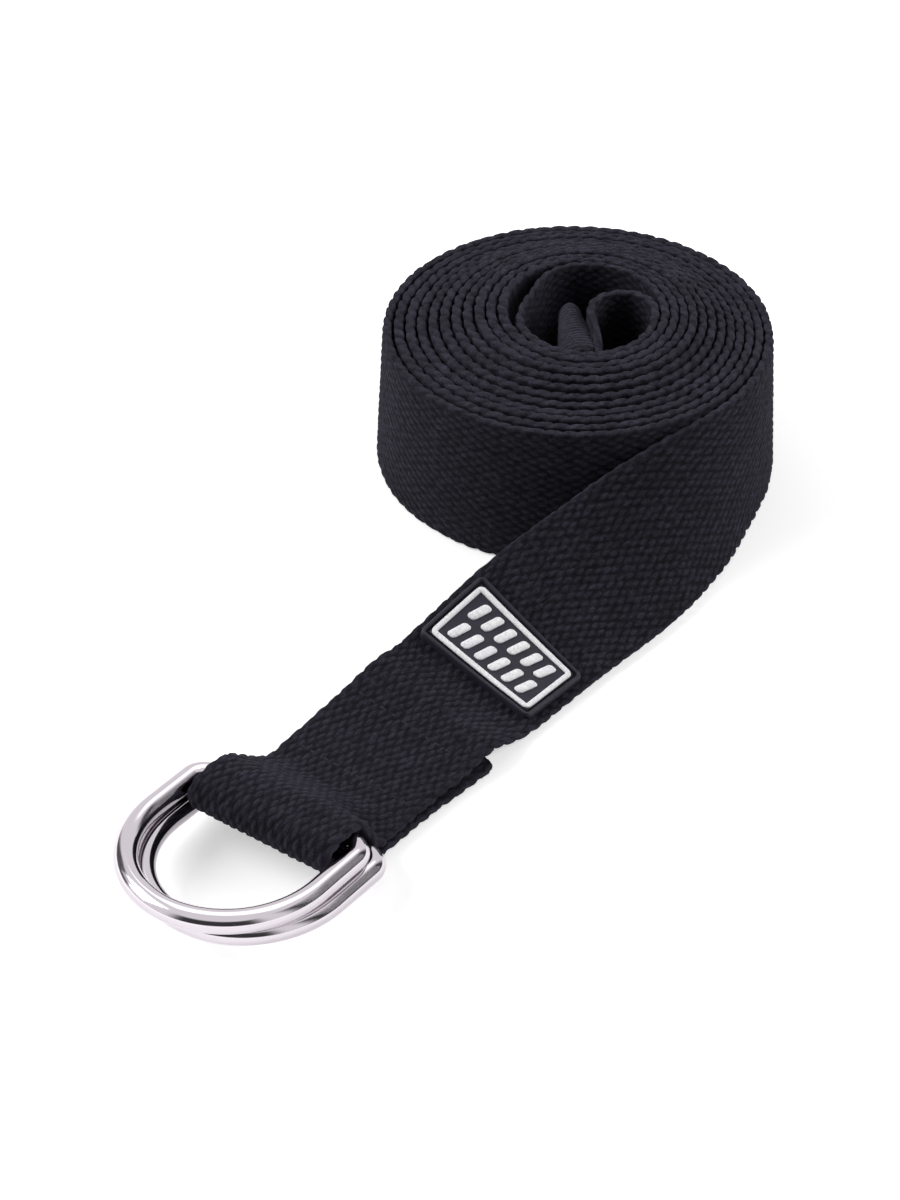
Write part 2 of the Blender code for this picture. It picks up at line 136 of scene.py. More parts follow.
# D-rings
RING_WIRE = 0.0054
RING_WIDTH = 0.0398
RING_LENGTH = 0.0409
RING_BOW = 0.0245
RING_CORNER = 0.004
RING_LIFT = math.radians(3.8)
RING_SIDE_OFFSET = 0.0006
UPPER_BAR_SETBACK = 0.001
RING_SIDES = 40
RING_BAR_POINTS = 12
RING_CORNER_STEPS = 16
RING_ARM_POINTS = 6
RING_BOW_STEPS = 96

# Label
LABEL_AT = 0.1229
LABEL_LENGTH = 0.0201
LABEL_ACROSS = 0.0341
LABEL_SHIFT = 0.0002
LABEL_CORNER = 0.0015
LABEL_RIM = 0.0012
LABEL_RIM_HEIGHT = 0.0021
LABEL_GROOVE = 0.0006
LABEL_GROOVE_DEPTH = 0.0006
LABEL_FIELD_HEIGHT = 0.0015
CUP_DEPTH = 0.0005
CUP_SPAN = 0.022
FRAME_INSET = 0.00245
FRAME_WIDTH = 0.0013
FRAME_CORNER = 0.0008
FRAME_HEIGHT = 0.00045
BAR_ROWS = (-0.0033, 0.0033)
BAR_COUNT = 6
BAR_PITCH = 0.0042
BAR_LENGTH = 0.0052
BAR_WIDTH = 0.0023
BAR_CORNER = 0.0009
BAR_CORNER_STEPS = 6
BAR_HEIGHT = 0.0004
BAR_SLANT = 0.25
BAR_NUDGE = 0.01
BEAD_LINES = 17
BEAD_ROUND = 2.6
BEAD_FULL = 0.45
GROOVE_FLAT = 0.6
GROOVE_LINES = (0.3, 0.6, 0.7, 0.8, 0.9, 1.0)
LABEL_STEP = 0.0012
LABEL_EMBED = 0.0001
FRAME_SIDE_POINTS = 14
FRAME_CORNER_POINTS = 7
FRAME_PROFILE = ((0.5, -0.2), (0.5, 0.6), (0.32, 1.0), (-0.32, 1.0), (-0.5, 0.6), (-0.5, -0.2))
BAR_LEVELS = ((1.0, -LABEL_EMBED), (1.0, 0.6 * BAR_HEIGHT), (0.9, BAR_HEIGHT))

# Thread
THREAD_RADIUS = 0.00028
LABEL_THREAD_RADIUS = 0.00018
STITCH_LENGTH = 0.0032
STITCH_INSET = 0.0025
FRONT_STITCH_AT = 0.004
REAR_STITCH_INSET = 0.006
LABEL_STITCH_INSET = 0.00148

# Weave: length of one yarn's wave along the strap, rows of yarn across its face
WAVE = 0.004
WEAVE_ROWS = 32
WEAVE_DEPTH = 0.00036
SELVEDGE_DEPTH = 0.0005
EDGE_WOBBLE = 0.0004
EDGE_POINTS = 9
EDGE_SQUARE = 0.6
FUZZ_PROUD = 0.00012
TURN_SWELL = 0.00017
EDGE_ROOM = 0.00008
EDGE_LEAST = 0.00094
EDGE_MOST = 0.00132

# Camera: from the roll's centre, in the part's axes
CAMERA_FROM_ROLL = (0.5592, 0.3608, 0.491)
CAMERA_AZIMUTH = math.radians(125.5)
CAMERA_ELEVATION = math.radians(39.1)
FOCAL_PIXELS = 3229.0
FRAME_PIXELS = (900, 1200)
SENSOR = 36.0

TURN = 2.0 * math.pi
UP = np.array((0.0, 0.0, 1.0))


def unit(vectors):
    return vectors / np.linalg.norm(vectors, axis=-1, keepdims=True)


def smooth(value):
    value = np.clip(value, 0.0, 1.0)
    return value * value * (3.0 - 2.0 * value)


def eased(at, knots, values):
    """Cubic curve through the knots, with slopes from their neighbours."""
    slope = np.gradient(values, knots)
    index = np.clip(np.searchsorted(knots, at, side="right") - 1, 0, len(knots) - 2)
    span = knots[index + 1] - knots[index]
    f = (at - knots[index]) / span
    a = (1.0 + 2.0 * f) * (1.0 - f) ** 2 * values[index]
    b = f * (1.0 - f) ** 2 * span * slope[index]
    c = f * f * (3.0 - 2.0 * f) * values[index + 1]
    d = f * f * (f - 1.0) * span * slope[index + 1]
    return a + b + c + d


def columns(at, knots, table):
    return np.stack([np.interp(at, knots, table[:, k]) for k in range(table.shape[1])], axis=-1)


# The strap's route, as in the part's solids but for the sunk last run and the leaning fold-back
turn_total = ROLL_TURNS - LEAVE_ANGLE / TURN


def turned(points):
    """Plan of the roll to the axes of the part."""
    c, s = math.cos(ROLL_BEARING), math.sin(ROLL_BEARING)
    return points @ np.array(((c, s), (-s, c)))


def turns_in(angle):
    """Turns from the lead to an angle on the roll."""
    return (angle - LEAVE_ANGLE) / TURN


def spiral(angle):
    """Middle line of the roll in plan, at an angle counted inwards from the lead."""
    inward = turns_in(angle)
    outward = turn_total - inward
    dent = CORE_DENT * np.exp(-((outward - DENT_AT) / DENT_SPAN) ** 2)
    half_x = CORE_HALF_X + WEB_THICKNESS / 2.0 + (WEB_THICKNESS + TURN_GAP_X) * outward - dent
    half_y = CORE_HALF_Y + WEB_THICKNESS / 2.0 + (WEB_THICKNESS + TURN_GAP_Y) * outward - dent
    x = CORE_SHIFT_X * inward / turn_total + half_x * np.cos(angle)
    y = CORE_SHIFT_Y * inward / turn_total + half_y * np.sin(angle)
    return np.stack((x, y), axis=-1)


def rise(angle):
    """Height of a turn's foot: none in the outer turns, all of it near the core."""
    return CORE_RISE * smooth((turns_in(angle) - FLAT_TURNS) / (turn_total - FLAT_TURNS - LEVEL_TURNS))


def flare(angle):
    """How far the foot of a turn stands out from its top edge."""
    return WALL_FLARE * smooth(1.0 - turns_in(angle) / FLARE_TURNS)


def outward_of(way):
    """Outer side of a plan direction that runs from the core to the lead."""
    return np.stack((-way[..., 1], way[..., 0]), axis=-1)


def stand(lean):
    """Height of the strap's middle above its lowest edge, at a lean from flat."""
    return WEB_WIDTH / 2.0 * np.sin(lean) + WEB_THICKNESS / 2.0 * np.cos(lean)


def leaned(level, lean):
    """Across direction of the strap, from a level one and a lean from flat."""
    return np.cos(lean)[:, None] * level + np.sin(lean)[:, None] * UP


angles = np.linspace(ROLL_TURNS * TURN, LEAVE_ANGLE, int(turn_total * TURN_STEPS))
spiral_plan = spiral(angles)
curl_centre = spiral_plan[0] - np.array((CURL_RADIUS, 0.0))
curl_turn = np.linspace(math.pi, 0.0, CURL_STEPS + 1)[:-1]
curl_plan = curl_centre + CURL_RADIUS * np.stack((np.cos(curl_turn), np.sin(curl_turn)), axis=-1)
run_share = np.linspace(1.0, 0.0, INNER_STEPS)[:-1, None]
run_plan = curl_plan[0] + np.array((INNER_SLANT, -INNER_RUN)) * run_share
inner_count = len(run_plan) + len(curl_plan)
roll_plan = turned(np.vstack((run_plan, curl_plan, spiral_plan)))
roll_base = np.concatenate((np.full(inner_count, CORE_RISE), rise(angles)))
roll_base[:len(run_plan)] -= RUN_SINK * smooth(np.linspace(RUN_SINK_EASE, 0.0, len(run_plan)))
roll_foot = np.concatenate((np.zeros(inner_count), flare(angles)))
roll_out = outward_of(unit(np.gradient(roll_plan, axis=0)))
roll_lean = np.arccos(roll_foot / WEB_WIDTH)
roll_height = roll_base + stand(roll_lean)
roll_middle = np.column_stack((roll_plan + roll_out * roll_foot[:, None] / 2.0, roll_height))
roll_across = np.column_stack((-roll_out * np.cos(roll_lean)[:, None], np.sin(roll_lean)))

leave = turned(spiral(np.array((LEAVE_ANGLE + LEAVE_STEP, LEAVE_ANGLE))))
leave_way = unit(leave[1] - leave[0])
leave_heading = math.degrees(math.atan2(leave_way[1], leave_way[0]))
leave_lean = math.degrees(math.acos(WALL_FLARE / WEB_WIDTH))
lead_length = LEAD_ROUTE[-1][0]
crown_at = lead_length + LOOP_RAMP
fold_back_end = crown_at - FOLD_BACK_LENGTH
route = np.array(((0.0, leave_heading, leave_lean), *LEAD_ROUTE, (crown_at, 0.0, 0.0)))
dense = np.linspace(0.0, crown_at, LEAD_STEPS + 1)
heading = np.radians(eased(dense, route[:, 0], route[:, 1]))
lean = np.radians(np.clip(eased(dense, route[:, 0], route[:, 2]), 0.0, 90.0))
layer = WEB_THICKNESS + FIT_GAP
step_up = layer * smooth((dense - fold_back_end + STEP_UP_RUN + STEP_UP_EARLY) / STEP_UP_RUN)
climb = np.clip((dense - lead_length) / LOOP_RAMP, 0.0, 1.0)
ramp_height = (LOOP_HEIGHT - layer) * (1.0 - np.cos(math.pi * climb)) / 2.0
lead_height = step_up + ramp_height + stand(lean)
pace = np.stack((np.cos(heading), np.sin(heading)), axis=-1)
hop = (pace[1:] + pace[:-1]) / 2.0 * np.diff(dense)[:, None]
lead_begin = leave[1] + outward_of(leave_way) * WALL_FLARE / 2.0
lead_plan = lead_begin + np.vstack(((0.0, 0.0), np.cumsum(hop, axis=0)))
right = np.stack((np.sin(heading), -np.cos(heading), np.zeros_like(heading)), axis=-1)
lead_middle = np.column_stack((lead_plan, lead_height))
lead_across = leaned(right, lean)
crown = lead_plan[-1]

bend = np.linspace(math.pi / 2.0, -NOSE_UNDERCUT, LOOP_STEPS + 1)[1:]
nose_x = NOSE_REACH + NOSE_RADIUS * np.cos(bend)
nose_z = LOOP_HEIGHT + WEB_THICKNESS / 2.0 - NOSE_RADIUS + NOSE_RADIUS * np.sin(bend)
slope = math.pi / 2.0 - NOSE_UNDERCUT
heel_turn = np.linspace(slope, 0.0, LOOP_STEPS // 2)
heel_z = WEB_THICKNESS / 2.0 + HEEL_RADIUS * (1.0 - np.cos(heel_turn))
heel_run = (nose_z[-1] - heel_z[0]) / math.tan(slope)
heel_x = nose_x[-1] - heel_run - HEEL_RADIUS * (math.sin(slope) - np.sin(heel_turn))
crown_x = np.linspace(0.0, nose_x[0], CROWN_POINTS + 2)[1:-1]
loop_x = np.concatenate((crown_x, nose_x, heel_x))
loop_z = np.concatenate((np.full(CROWN_POINTS, LOOP_HEIGHT + WEB_THICKNESS / 2.0), nose_z, heel_z))
loop_middle = np.column_stack((crown[0] + loop_x, np.full(len(loop_x), crown[1]), loop_z))
under_start = crown_at + heel_x[-1] - 2.0 * FIT_GAP
under_at = np.linspace(under_start, fold_back_end - FOLD_BACK_MORE, UNDER_POINTS)
under_right = columns(under_at, dense, right)
under_skew = FOLD_BACK_SKEW * (under_start - under_at) / FOLD_BACK_LENGTH
under_lean = np.interp(under_at, dense, lean)
under_middle = columns(under_at, dense, lead_middle) - under_skew[:, None] * under_right
under_middle[:, 2] = stand(under_lean)
under_across = leaned(under_right, under_lean)

# Whole strap as one row of points with their across directions
upper_joint = next(j for j in frame["joints"] if j["child"] == "upper_ring")
lower_joint = next(j for j in frame["joints"] if j["child"] == "lower_ring")
bar = np.array((crown[0] - UPPER_BAR_SETBACK, crown[1] - RING_SIDE_OFFSET))
place = np.append(np.array(upper_joint["pos_m"][:2]) - bar, 0.0)
middle = np.vstack((roll_middle[:-1], lead_middle, loop_middle, under_middle)) + place
wide = np.vstack((roll_across[:-1], lead_across,
                  np.tile((0.0, -1.0, 0.0), (len(loop_middle), 1)), under_across))
station = np.append(0.0, np.cumsum(np.linalg.norm(np.diff(middle, axis=0), axis=1)))
ahead = unit(np.gradient(middle, station, axis=0))
lead_start = station[len(roll_middle) - 1]
lead_stations = station[len(roll_middle) - 1:len(roll_middle) - 1 + len(dense)]
strap_length = station[-1]


def strap_at(s):
    """Middle point, across and outward directions at distances along the strap."""
    tangent = unit(columns(s, station, ahead))
    across = columns(s, station, wide)
    across = unit(across - (across * tangent).sum(-1, keepdims=True) * tangent)
    return columns(s, station, middle), across, np.cross(across, tangent)


label_station = float(np.interp(LABEL_AT, dense, lead_stations))
edge_drop = ramp_height * smooth((crown_at - dense - DROP_BEHIND) / DROP_RUN)
edge_drop -= TAB_LIFT * np.exp(-((dense - fold_back_end + TAB_BEFORE) / TAB_SPAN) ** 2)


def drop(s, across):
    """How far one edge falls behind the bars, less its lift over the fold-back's corner."""
    towards_edge = smooth((-across - DROP_ACROSS) / (WEB_WIDTH / 2.0 - DROP_ACROSS))
    return np.interp(s, lead_stations, edge_drop, left=0.0, right=0.0) * towards_edge


def cup(s, across):
    """How far the strap dips between its edges, where the label pulls it hollow."""
    near_label = np.exp(-((s - label_station) / CUP_SPAN) ** 2)
    return CUP_DEPTH * near_label * (1.0 - (2.0 * across / WEB_WIDTH) ** 2)


def on_lead(at, across, up):
    """Point above the outer face of the lead, at a plan distance from the roll."""
    at, across, up = np.broadcast_arrays(*(np.asarray(a, float) for a in (at, across, up)))
    s = np.interp(at, dense, lead_stations)
    centre, wide_way, normal = strap_at(s)
    height = WEB_THICKNESS / 2.0 + up - cup(s, across)
    points = centre + across[..., None] * wide_way + height[..., None] * normal
    points[..., 2] -= drop(s, across)
    return points


# Meshes
def make(name, points, faces, material, body="strap"):
    mesh = bpy.data.meshes.new(name)
    mesh.from_pydata(points.reshape(-1, 3).tolist(), [], faces)
    mesh.materials.append(material)
    mesh.polygons.foreach_set("use_smooth", [True] * len(mesh.polygons))
    mesh.update()
    obj = bpy.data.objects.new(name, mesh)
    bpy.context.scene.collection.objects.link(obj)
    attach(obj, body)
    return obj


def grid_faces(rows, sides, closed_rows):
    """Quads between rows of points that each close on themselves."""
    row = np.arange(rows if closed_rows else rows - 1)[:, None] * sides
    ahead_row = (row + sides) % (rows * sides)
    k = np.arange(sides)[None, :]
    j = (k + 1) % sides
    return np.stack((row + k, row + j, ahead_row + j, ahead_row + k), axis=-1).reshape(-1, 4)


def capped(rows, sides, offset=0):
    """Faces of an open tube with both ends shut, whose points begin at that number."""
    faces = (grid_faces(rows, sides, False) + offset).tolist()
    last = offset + sides * (rows - 1)
    faces.append([offset + k for k in range(sides - 1, -1, -1)])
    faces.append([last + k for k in range(sides)])
    return faces


def tube(name, rings, closed, material, body="strap"):
    count, sides = rings.shape[:2]
    faces = grid_faces(count, sides, True).tolist() if closed else capped(count, sides)
    return make(name, rings, faces, material, body)


# Materials: tones and hazes are limits, bumps a strength and a depth, grains also a scale
NOISE_SPAN = (0.3, 0.7)
FIBRE_TONE = (0.5, 1.55)
FUZZ_TONE = (0.4, 1.65)
CLOUD_TONE = (0.82, 1.18)
# Stops of the painted shade between the yarns: where the flanks sit, and how near the crest colour they
# are
FLANK_AT = 0.55
FLANK_CREST = 0.6
FIBRE_BUMP = (0.5, 0.0003)
FUZZ_BUMP = (0.5, 0.0002)
RUBBER_GRAIN = (1600.0, 0.15, 0.0002)
RUBBER_TONE = (0.82, 1.16)
RUBBER_GLOSS = (0.8, 1.2)
NICKEL_GRAIN = (700.0, 0.02, 0.0001)
NICKEL_HAZE = (0.06, 0.13)


def give(target, **inputs):
    """Set inputs of a node, whose names have _ for each space."""
    for name, value in inputs.items():
        target.inputs[name.replace("_", " ")].default_value = value
    return target


def node(tree, kind, **inputs):
    return give(tree.nodes.new(kind), **inputs)


def shader(name, colour, metallic, roughness):
    material = bpy.data.materials.new(name)
    material.use_nodes = True
    tree = material.node_tree
    principled = give(tree.nodes["Principled BSDF"], Base_Color=(*colour, 1.0), Metallic=metallic,
                      Roughness=roughness)
    return material, tree, principled


def attribute(tree, name):
    new = tree.nodes.new("ShaderNodeAttribute")
    new.attribute_name = name
    return new


def noise(tree, vector, **inputs):
    new = node(tree, "ShaderNodeTexNoise", **inputs)
    tree.links.new(vector, new.inputs["Vector"])
    return new


def bump(tree, texture, strength, distance):
    new = node(tree, "ShaderNodeBump", Strength=strength, Distance=distance)
    tree.links.new(texture.outputs["Fac"], new.inputs["Height"])
    return new


def maths(tree, kind, operation, *sources):
    """Node that works on the results of others, or on plain values given in their place."""
    new = tree.nodes.new(kind)
    new.operation = operation
    for socket, source in zip(new.inputs, sources):
        if isinstance(source, bpy.types.NodeSocket):
            tree.links.new(source, socket)
        else:
            socket.default_value = source
    return new


def product(tree, a, b):
    return maths(tree, "ShaderNodeMath", "MULTIPLY", a, b).outputs["Value"]


def map_range(tree, value, begin, end, low, high):
    new = node(tree, "ShaderNodeMapRange", From_Min=begin, From_Max=end, To_Min=low, To_Max=high)
    tree.links.new(value, new.inputs["Value"])
    return new.outputs["Result"]


def spread(tree, texture, low, high):
    """Noise as a value between two limits."""
    return map_range(tree, texture.outputs["Fac"], *NOISE_SPAN, low, high)


def ramp(tree, stops):
    new = tree.nodes.new("ShaderNodeValToRGB")
    elements = new.color_ramp.elements
    elements[0].position, elements[0].color = stops[0][0], (*stops[0][1], 1.0)
    elements[1].position, elements[1].color = stops[-1][0], (*stops[-1][1], 1.0)
    for at, colour in stops[1:-1]:
        elements.new(at).color = (*colour, 1.0)
    return new


def grain(tree, principled, scale, strength, distance):
    """Fine bump from noise in object space."""
    where = node(tree, "ShaderNodeTexCoord").outputs["Object"]
    texture = noise(tree, where, Scale=scale, Detail=4.0, Roughness=0.6)
    relief = bump(tree, texture, strength, distance)
    tree.links.new(relief.outputs["Normal"], principled.inputs["Normal"])
    return where, texture


def webbing_material(name, valley_shade, crest, streaks):
    """Cotton webbing: darker between the yarns as painted shade, paler on their crests, fibres drawn
    along them.
    """
    material, tree, principled = shader(name, crest, 0.0, 0.88)
    strap = attribute(tree, "strap").outputs["Vector"]
    drawn = maths(tree, "ShaderNodeVectorMath", "MULTIPLY", strap, streaks).outputs["Vector"]
    fibre = noise(tree, drawn, Scale=1.0, Detail=5.0, Roughness=0.65, Distortion=0.6)
    where = node(tree, "ShaderNodeTexCoord").outputs["Object"]
    fuzz = noise(tree, where, Scale=2300.0, Detail=4.0, Roughness=0.7)
    cloud = noise(tree, where, Scale=130.0, Detail=4.0)
    flank = [FLANK_CREST * c + (1.0 - FLANK_CREST) * v for c, v in zip(crest, valley_shade)]
    # Painted shade: the weave's height darkens the colour towards the valley colour in the hollows
    # between yarns and strands
    tone = ramp(tree, ((0.0, valley_shade), (FLANK_AT, flank), (1.0, crest)))
    tree.links.new(attribute(tree, "relief").outputs["Fac"], tone.inputs["Fac"])
    factor = product(tree, spread(tree, fibre, *FIBRE_TONE), spread(tree, fuzz, *FUZZ_TONE))
    factor = product(tree, factor, spread(tree, cloud, *CLOUD_TONE))
    shade = maths(tree, "ShaderNodeVectorMath", "SCALE", tone.outputs["Color"])
    tree.links.new(factor, shade.inputs["Scale"])
    tree.links.new(shade.outputs["Vector"], principled.inputs["Base Color"])
    coarse = bump(tree, fibre, *FIBRE_BUMP)
    fine = bump(tree, fuzz, *FUZZ_BUMP)
    tree.links.new(coarse.outputs["Normal"], fine.inputs["Normal"])
    tree.links.new(fine.outputs["Normal"], principled.inputs["Normal"])
    give(principled, Specular_IOR_Level=0.1, Sheen_Weight=0.05, Sheen_Roughness=0.5,
         Sheen_Tint=(0.72, 0.7, 0.95, 1.0))
    return material


def rubber_material(name, colour, roughness):
    """Soft moulding with a faint grain and slightly uneven gloss."""
    material, tree, principled = shader(name, colour, 0.0, roughness)
    where, texture = grain(tree, principled, *RUBBER_GRAIN)
    stops = [(at, [c * share for c in colour]) for at, share in zip(NOISE_SPAN, RUBBER_TONE)]
    tone = ramp(tree, stops)
    tree.links.new(texture.outputs["Fac"], tone.inputs["Fac"])
    tree.links.new(tone.outputs["Color"], principled.inputs["Base Color"])
    wear = noise(tree, where, Scale=220.0, Detail=4.0)
    gloss = spread(tree, wear, *(roughness * share for share in RUBBER_GLOSS))
    tree.links.new(gloss, principled.inputs["Roughness"])
    give(principled, Specular_IOR_Level=0.3)
    return material


def nickel_material(name):
    """Polished nickel plate with faint draw marks and handling haze."""
    material, tree, principled = shader(name, (0.62, 0.575, 0.62), 1.0, 0.08)
    where, _ = grain(tree, principled, *NICKEL_GRAIN)
    haze = noise(tree, where, Scale=160.0, Detail=5.0)
    tree.links.new(spread(tree, haze, *NICKEL_HAZE), principled.inputs["Roughness"])
    return material


# Valley colours are painted shade in the hollows of the weave, crest colours the yarn's own
web_black = webbing_material("webbing_black", (0.0042, 0.0038, 0.0058), (0.0266, 0.0241, 0.035),
                             (500.0, 2600.0, 2600.0))
# The hem's colours are a paler copy of the webbing's, painted light on the turned-over end
hem_grey = webbing_material("hem_grey", (0.014, 0.013, 0.0186), (0.036, 0.0333, 0.0467),
                            (2200.0, 500.0, 500.0))
thread_black = rubber_material("thread_black", (0.012, 0.0115, 0.015), 0.7)
label_grey = rubber_material("label_grey", (0.019, 0.0172, 0.0285), 0.55)
label_white = rubber_material("label_white", (0.9, 0.895, 0.92), 0.5)
nickel = nickel_material("ring_nickel")


# Webbing: yarns on its faces and strands on its edges, each a little off its place and size.
# A level is the height of relief that lies on the plain surface.
ROW = (WEB_WIDTH - WEB_THICKNESS) / WEAVE_ROWS
YARN_HALF_LENGTH = 0.00135
YARN_HALF_WIDTH = 0.00066
YARN_STRAY_ALONG = 0.16
YARN_STRAY_ASIDE = 0.36
YARN_LEAST = 0.72
YARN_SPREAD = 0.4
STRAND_ROWS = ((0.3, 0.0), (0.7, 0.5))
STRAND_HALF_LENGTH = 0.0018
STRAND_HALF_TURN = 0.34
STRAND_SLANT = 0.55
STRAND_STRAY = 0.2
STRAND_LEAST = 0.75
STRAND_SPREAD = 0.35
CREST_SHARE = 0.8
FACE_BASE = 0.12
EDGE_BASE = 0.1
COARSE_GRAIN, COARSE_CELL = 0.2, 0.0009
FINE_GRAIN, FINE_CELL = 0.16, 0.0005
EDGE_GRAIN, EDGE_CELL = 0.22, 0.0008
EDGE_SPAN = 0.003
OUTER_LEVEL, EDGE_LEVEL, INNER_LEVEL = 0.6, 0.75, 1.0
# Painted shade on the edges: how dark the crevices between strands are, and how fast the strands
# brighten
EDGE_SHADE_LEAST, EDGE_SHADE_SHARE = 0.2, 0.92
WOBBLE_CELL = 0.07
WOBBLE_FADE = 0.1
SIDES_APART = 0.001
WOVEN_COLUMNS = 2 * WEAVE_ROWS
HIDDEN_COLUMNS = 3
CORE_TURNS = 1.2
INNER_TURNS = 7.5
OUTER_TURNS = 1.15
SNUG_AFTER = 0.6


def scatter(first, second):
    """Repeatable pseudo-random values from 0 to 1 for pairs of whole numbers."""
    value = np.sin(first * 12.9898 + second * 78.233 + 4.1) * 43758.5453
    return value - np.floor(value)


def rough(s, v, cell):
    """Smooth random field from -1 to 1 over the flat strap, with grains of that size."""
    a, b = np.broadcast_arrays(s / cell, v / cell)
    i, j = np.floor(a), np.floor(b)
    f, g = smooth(a - i), smooth(b - j)
    low = scatter(i, j) * (1.0 - f) + scatter(i + 1.0, j) * f
    high = scatter(i, j + 1.0) * (1.0 - f) + scatter(i + 1.0, j + 1.0) * f
    return 2.0 * (low * (1.0 - g) + high * g) - 1.0


def dome(along, aside):
    """Round bump, from distances as shares of its half length and half width."""
    return np.clip(1.0 - along ** 2 - aside ** 2, 0.0, 1.0) ** 0.5


def weave(s, row, side):
    """Height of the weave, 0 between yarns to 1 on a crest; rows are half a wave apart."""
    height = np.zeros(np.broadcast(s, row).shape)
    for neighbour in (-1, 0, 1):
        lane = np.floor(row) + neighbour
        start = 0.5 * ((lane + side) % 2.0)
        wave = np.round(s / WAVE - start)
        along = s - (wave + start + YARN_STRAY_ALONG * (scatter(lane, wave) - 0.5)) * WAVE
        aside = (row - lane - 0.5 - YARN_STRAY_ASIDE * (scatter(wave, lane + 7.0) - 0.5)) * ROW
        size = YARN_LEAST + YARN_SPREAD * scatter(lane + 3.0, wave)
        height = np.maximum(height, size * dome(along / YARN_HALF_LENGTH, aside / YARN_HALF_WIDTH))
    grains = COARSE_GRAIN * rough(s, row * ROW, COARSE_CELL)
    grains = grains + FINE_GRAIN * rough(s, row * ROW + side, FINE_CELL)
    return np.clip(FACE_BASE + CREST_SHARE * height + grains, 0.0, 1.0)


def selvedge(s, turn, side):
    """Height of the edge, from the outer face (0) to the inner (1): two rows of slanted strands."""
    height = np.zeros(np.broadcast(s, turn).shape)
    for middle_turn, start in STRAND_ROWS:
        phase = s / WAVE + start + 0.5 * side + STRAND_SLANT * (turn - middle_turn)
        wave = np.round(phase)
        along = (phase - wave - STRAND_STRAY * (scatter(wave, start + side) - 0.5)) * WAVE
        size = STRAND_LEAST + STRAND_SPREAD * scatter(wave + 5.0, start + side)
        aside = (turn - middle_turn) / STRAND_HALF_TURN
        height = np.maximum(height, size * dome(along / STRAND_HALF_LENGTH, aside))
    grains = EDGE_GRAIN * rough(s, turn * EDGE_SPAN + side, EDGE_CELL)
    return np.clip(EDGE_BASE + CREST_SHARE * height + grains, 0.0, 1.0)


def edge_at(share):
    """Point on the rounded, nearly square edge, from the outer face (0) to the inner face (1)."""
    turn = math.pi * (0.5 - share)
    out = math.cos(turn) ** EDGE_SQUARE
    over = math.copysign(abs(math.sin(turn)) ** EDGE_SQUARE, turn)
    return out, over, math.cos(turn), math.sin(turn)


def section(outer_columns, inner_columns):
    """Points round the webbing: across, outward, direction of relief, row, edge turn and side."""
    half = WEB_WIDTH / 2.0 - WEB_THICKNESS / 2.0
    thick = WEB_THICKNESS / 2.0 + FUZZ_PROUD
    points = []
    for way, face, count in ((1.0, 0, outer_columns), (-1.0, 2, inner_columns)):
        begin = 0.0 if way > 0.0 else 1.0
        for k in range(count):
            share = begin + way * k / count
            v = half * (2.0 * share - 1.0)
            points.append((v, way * thick, 0.0, way, share * WEAVE_ROWS, begin, face))
        for k in range(EDGE_POINTS):
            share = begin + way * k / EDGE_POINTS
            out, over, way_out, way_over = edge_at(share)
            v = way * (half + thick * out)
            points.append((v, thick * over, way * way_out, way_over, 0.0, share, face + 1))
    return np.array(points)


def tag(obj, relief, where):
    """Store the weave's height, which the material paints as shade in the hollows, and the place on the
    flat strap for the material.
    """
    values = obj.data.attributes.new("relief", "FLOAT", "POINT")
    values.data.foreach_set("value", relief.astype(np.float32).ravel())
    places = obj.data.attributes.new("strap", "FLOAT_VECTOR", "POINT")
    places.data.foreach_set("vector", where.astype(np.float32).ravel())


coil_stations = station[inner_count:inner_count + len(angles)]


def at_station(angle):
    """Distance along the strap of an angle on the roll."""
    return float(np.interp(-angle, -angles, coil_stations))


core_end = at_station((ROLL_TURNS - CORE_TURNS) * TURN)
coil_middle = at_station((ROLL_TURNS - INNER_TURNS) * TURN)
outer_start = at_station(LEAVE_ANGLE + OUTER_TURNS * TURN)

# Room between the turns: how full the edges are, and how far the hidden faces swell
pitch = np.linalg.norm(spiral(angles + TURN) - spiral(angles), axis=-1)
snug = np.clip(pitch / 2.0 - EDGE_ROOM * (1.0 + np.sin(angles)), EDGE_LEAST, EDGE_MOST)
snug = snug / (WEB_THICKNESS / 2.0 + FUZZ_PROUD)
snug = 1.0 + (snug - 1.0) * smooth(turns_in(angles) - SNUG_AFTER)
apart = pitch - WEB_THICKNESS + WALL_FLARE / FLARE_TURNS / 2.0
between = np.maximum(apart / 2.0 - FUZZ_PROUD, TURN_SWELL)


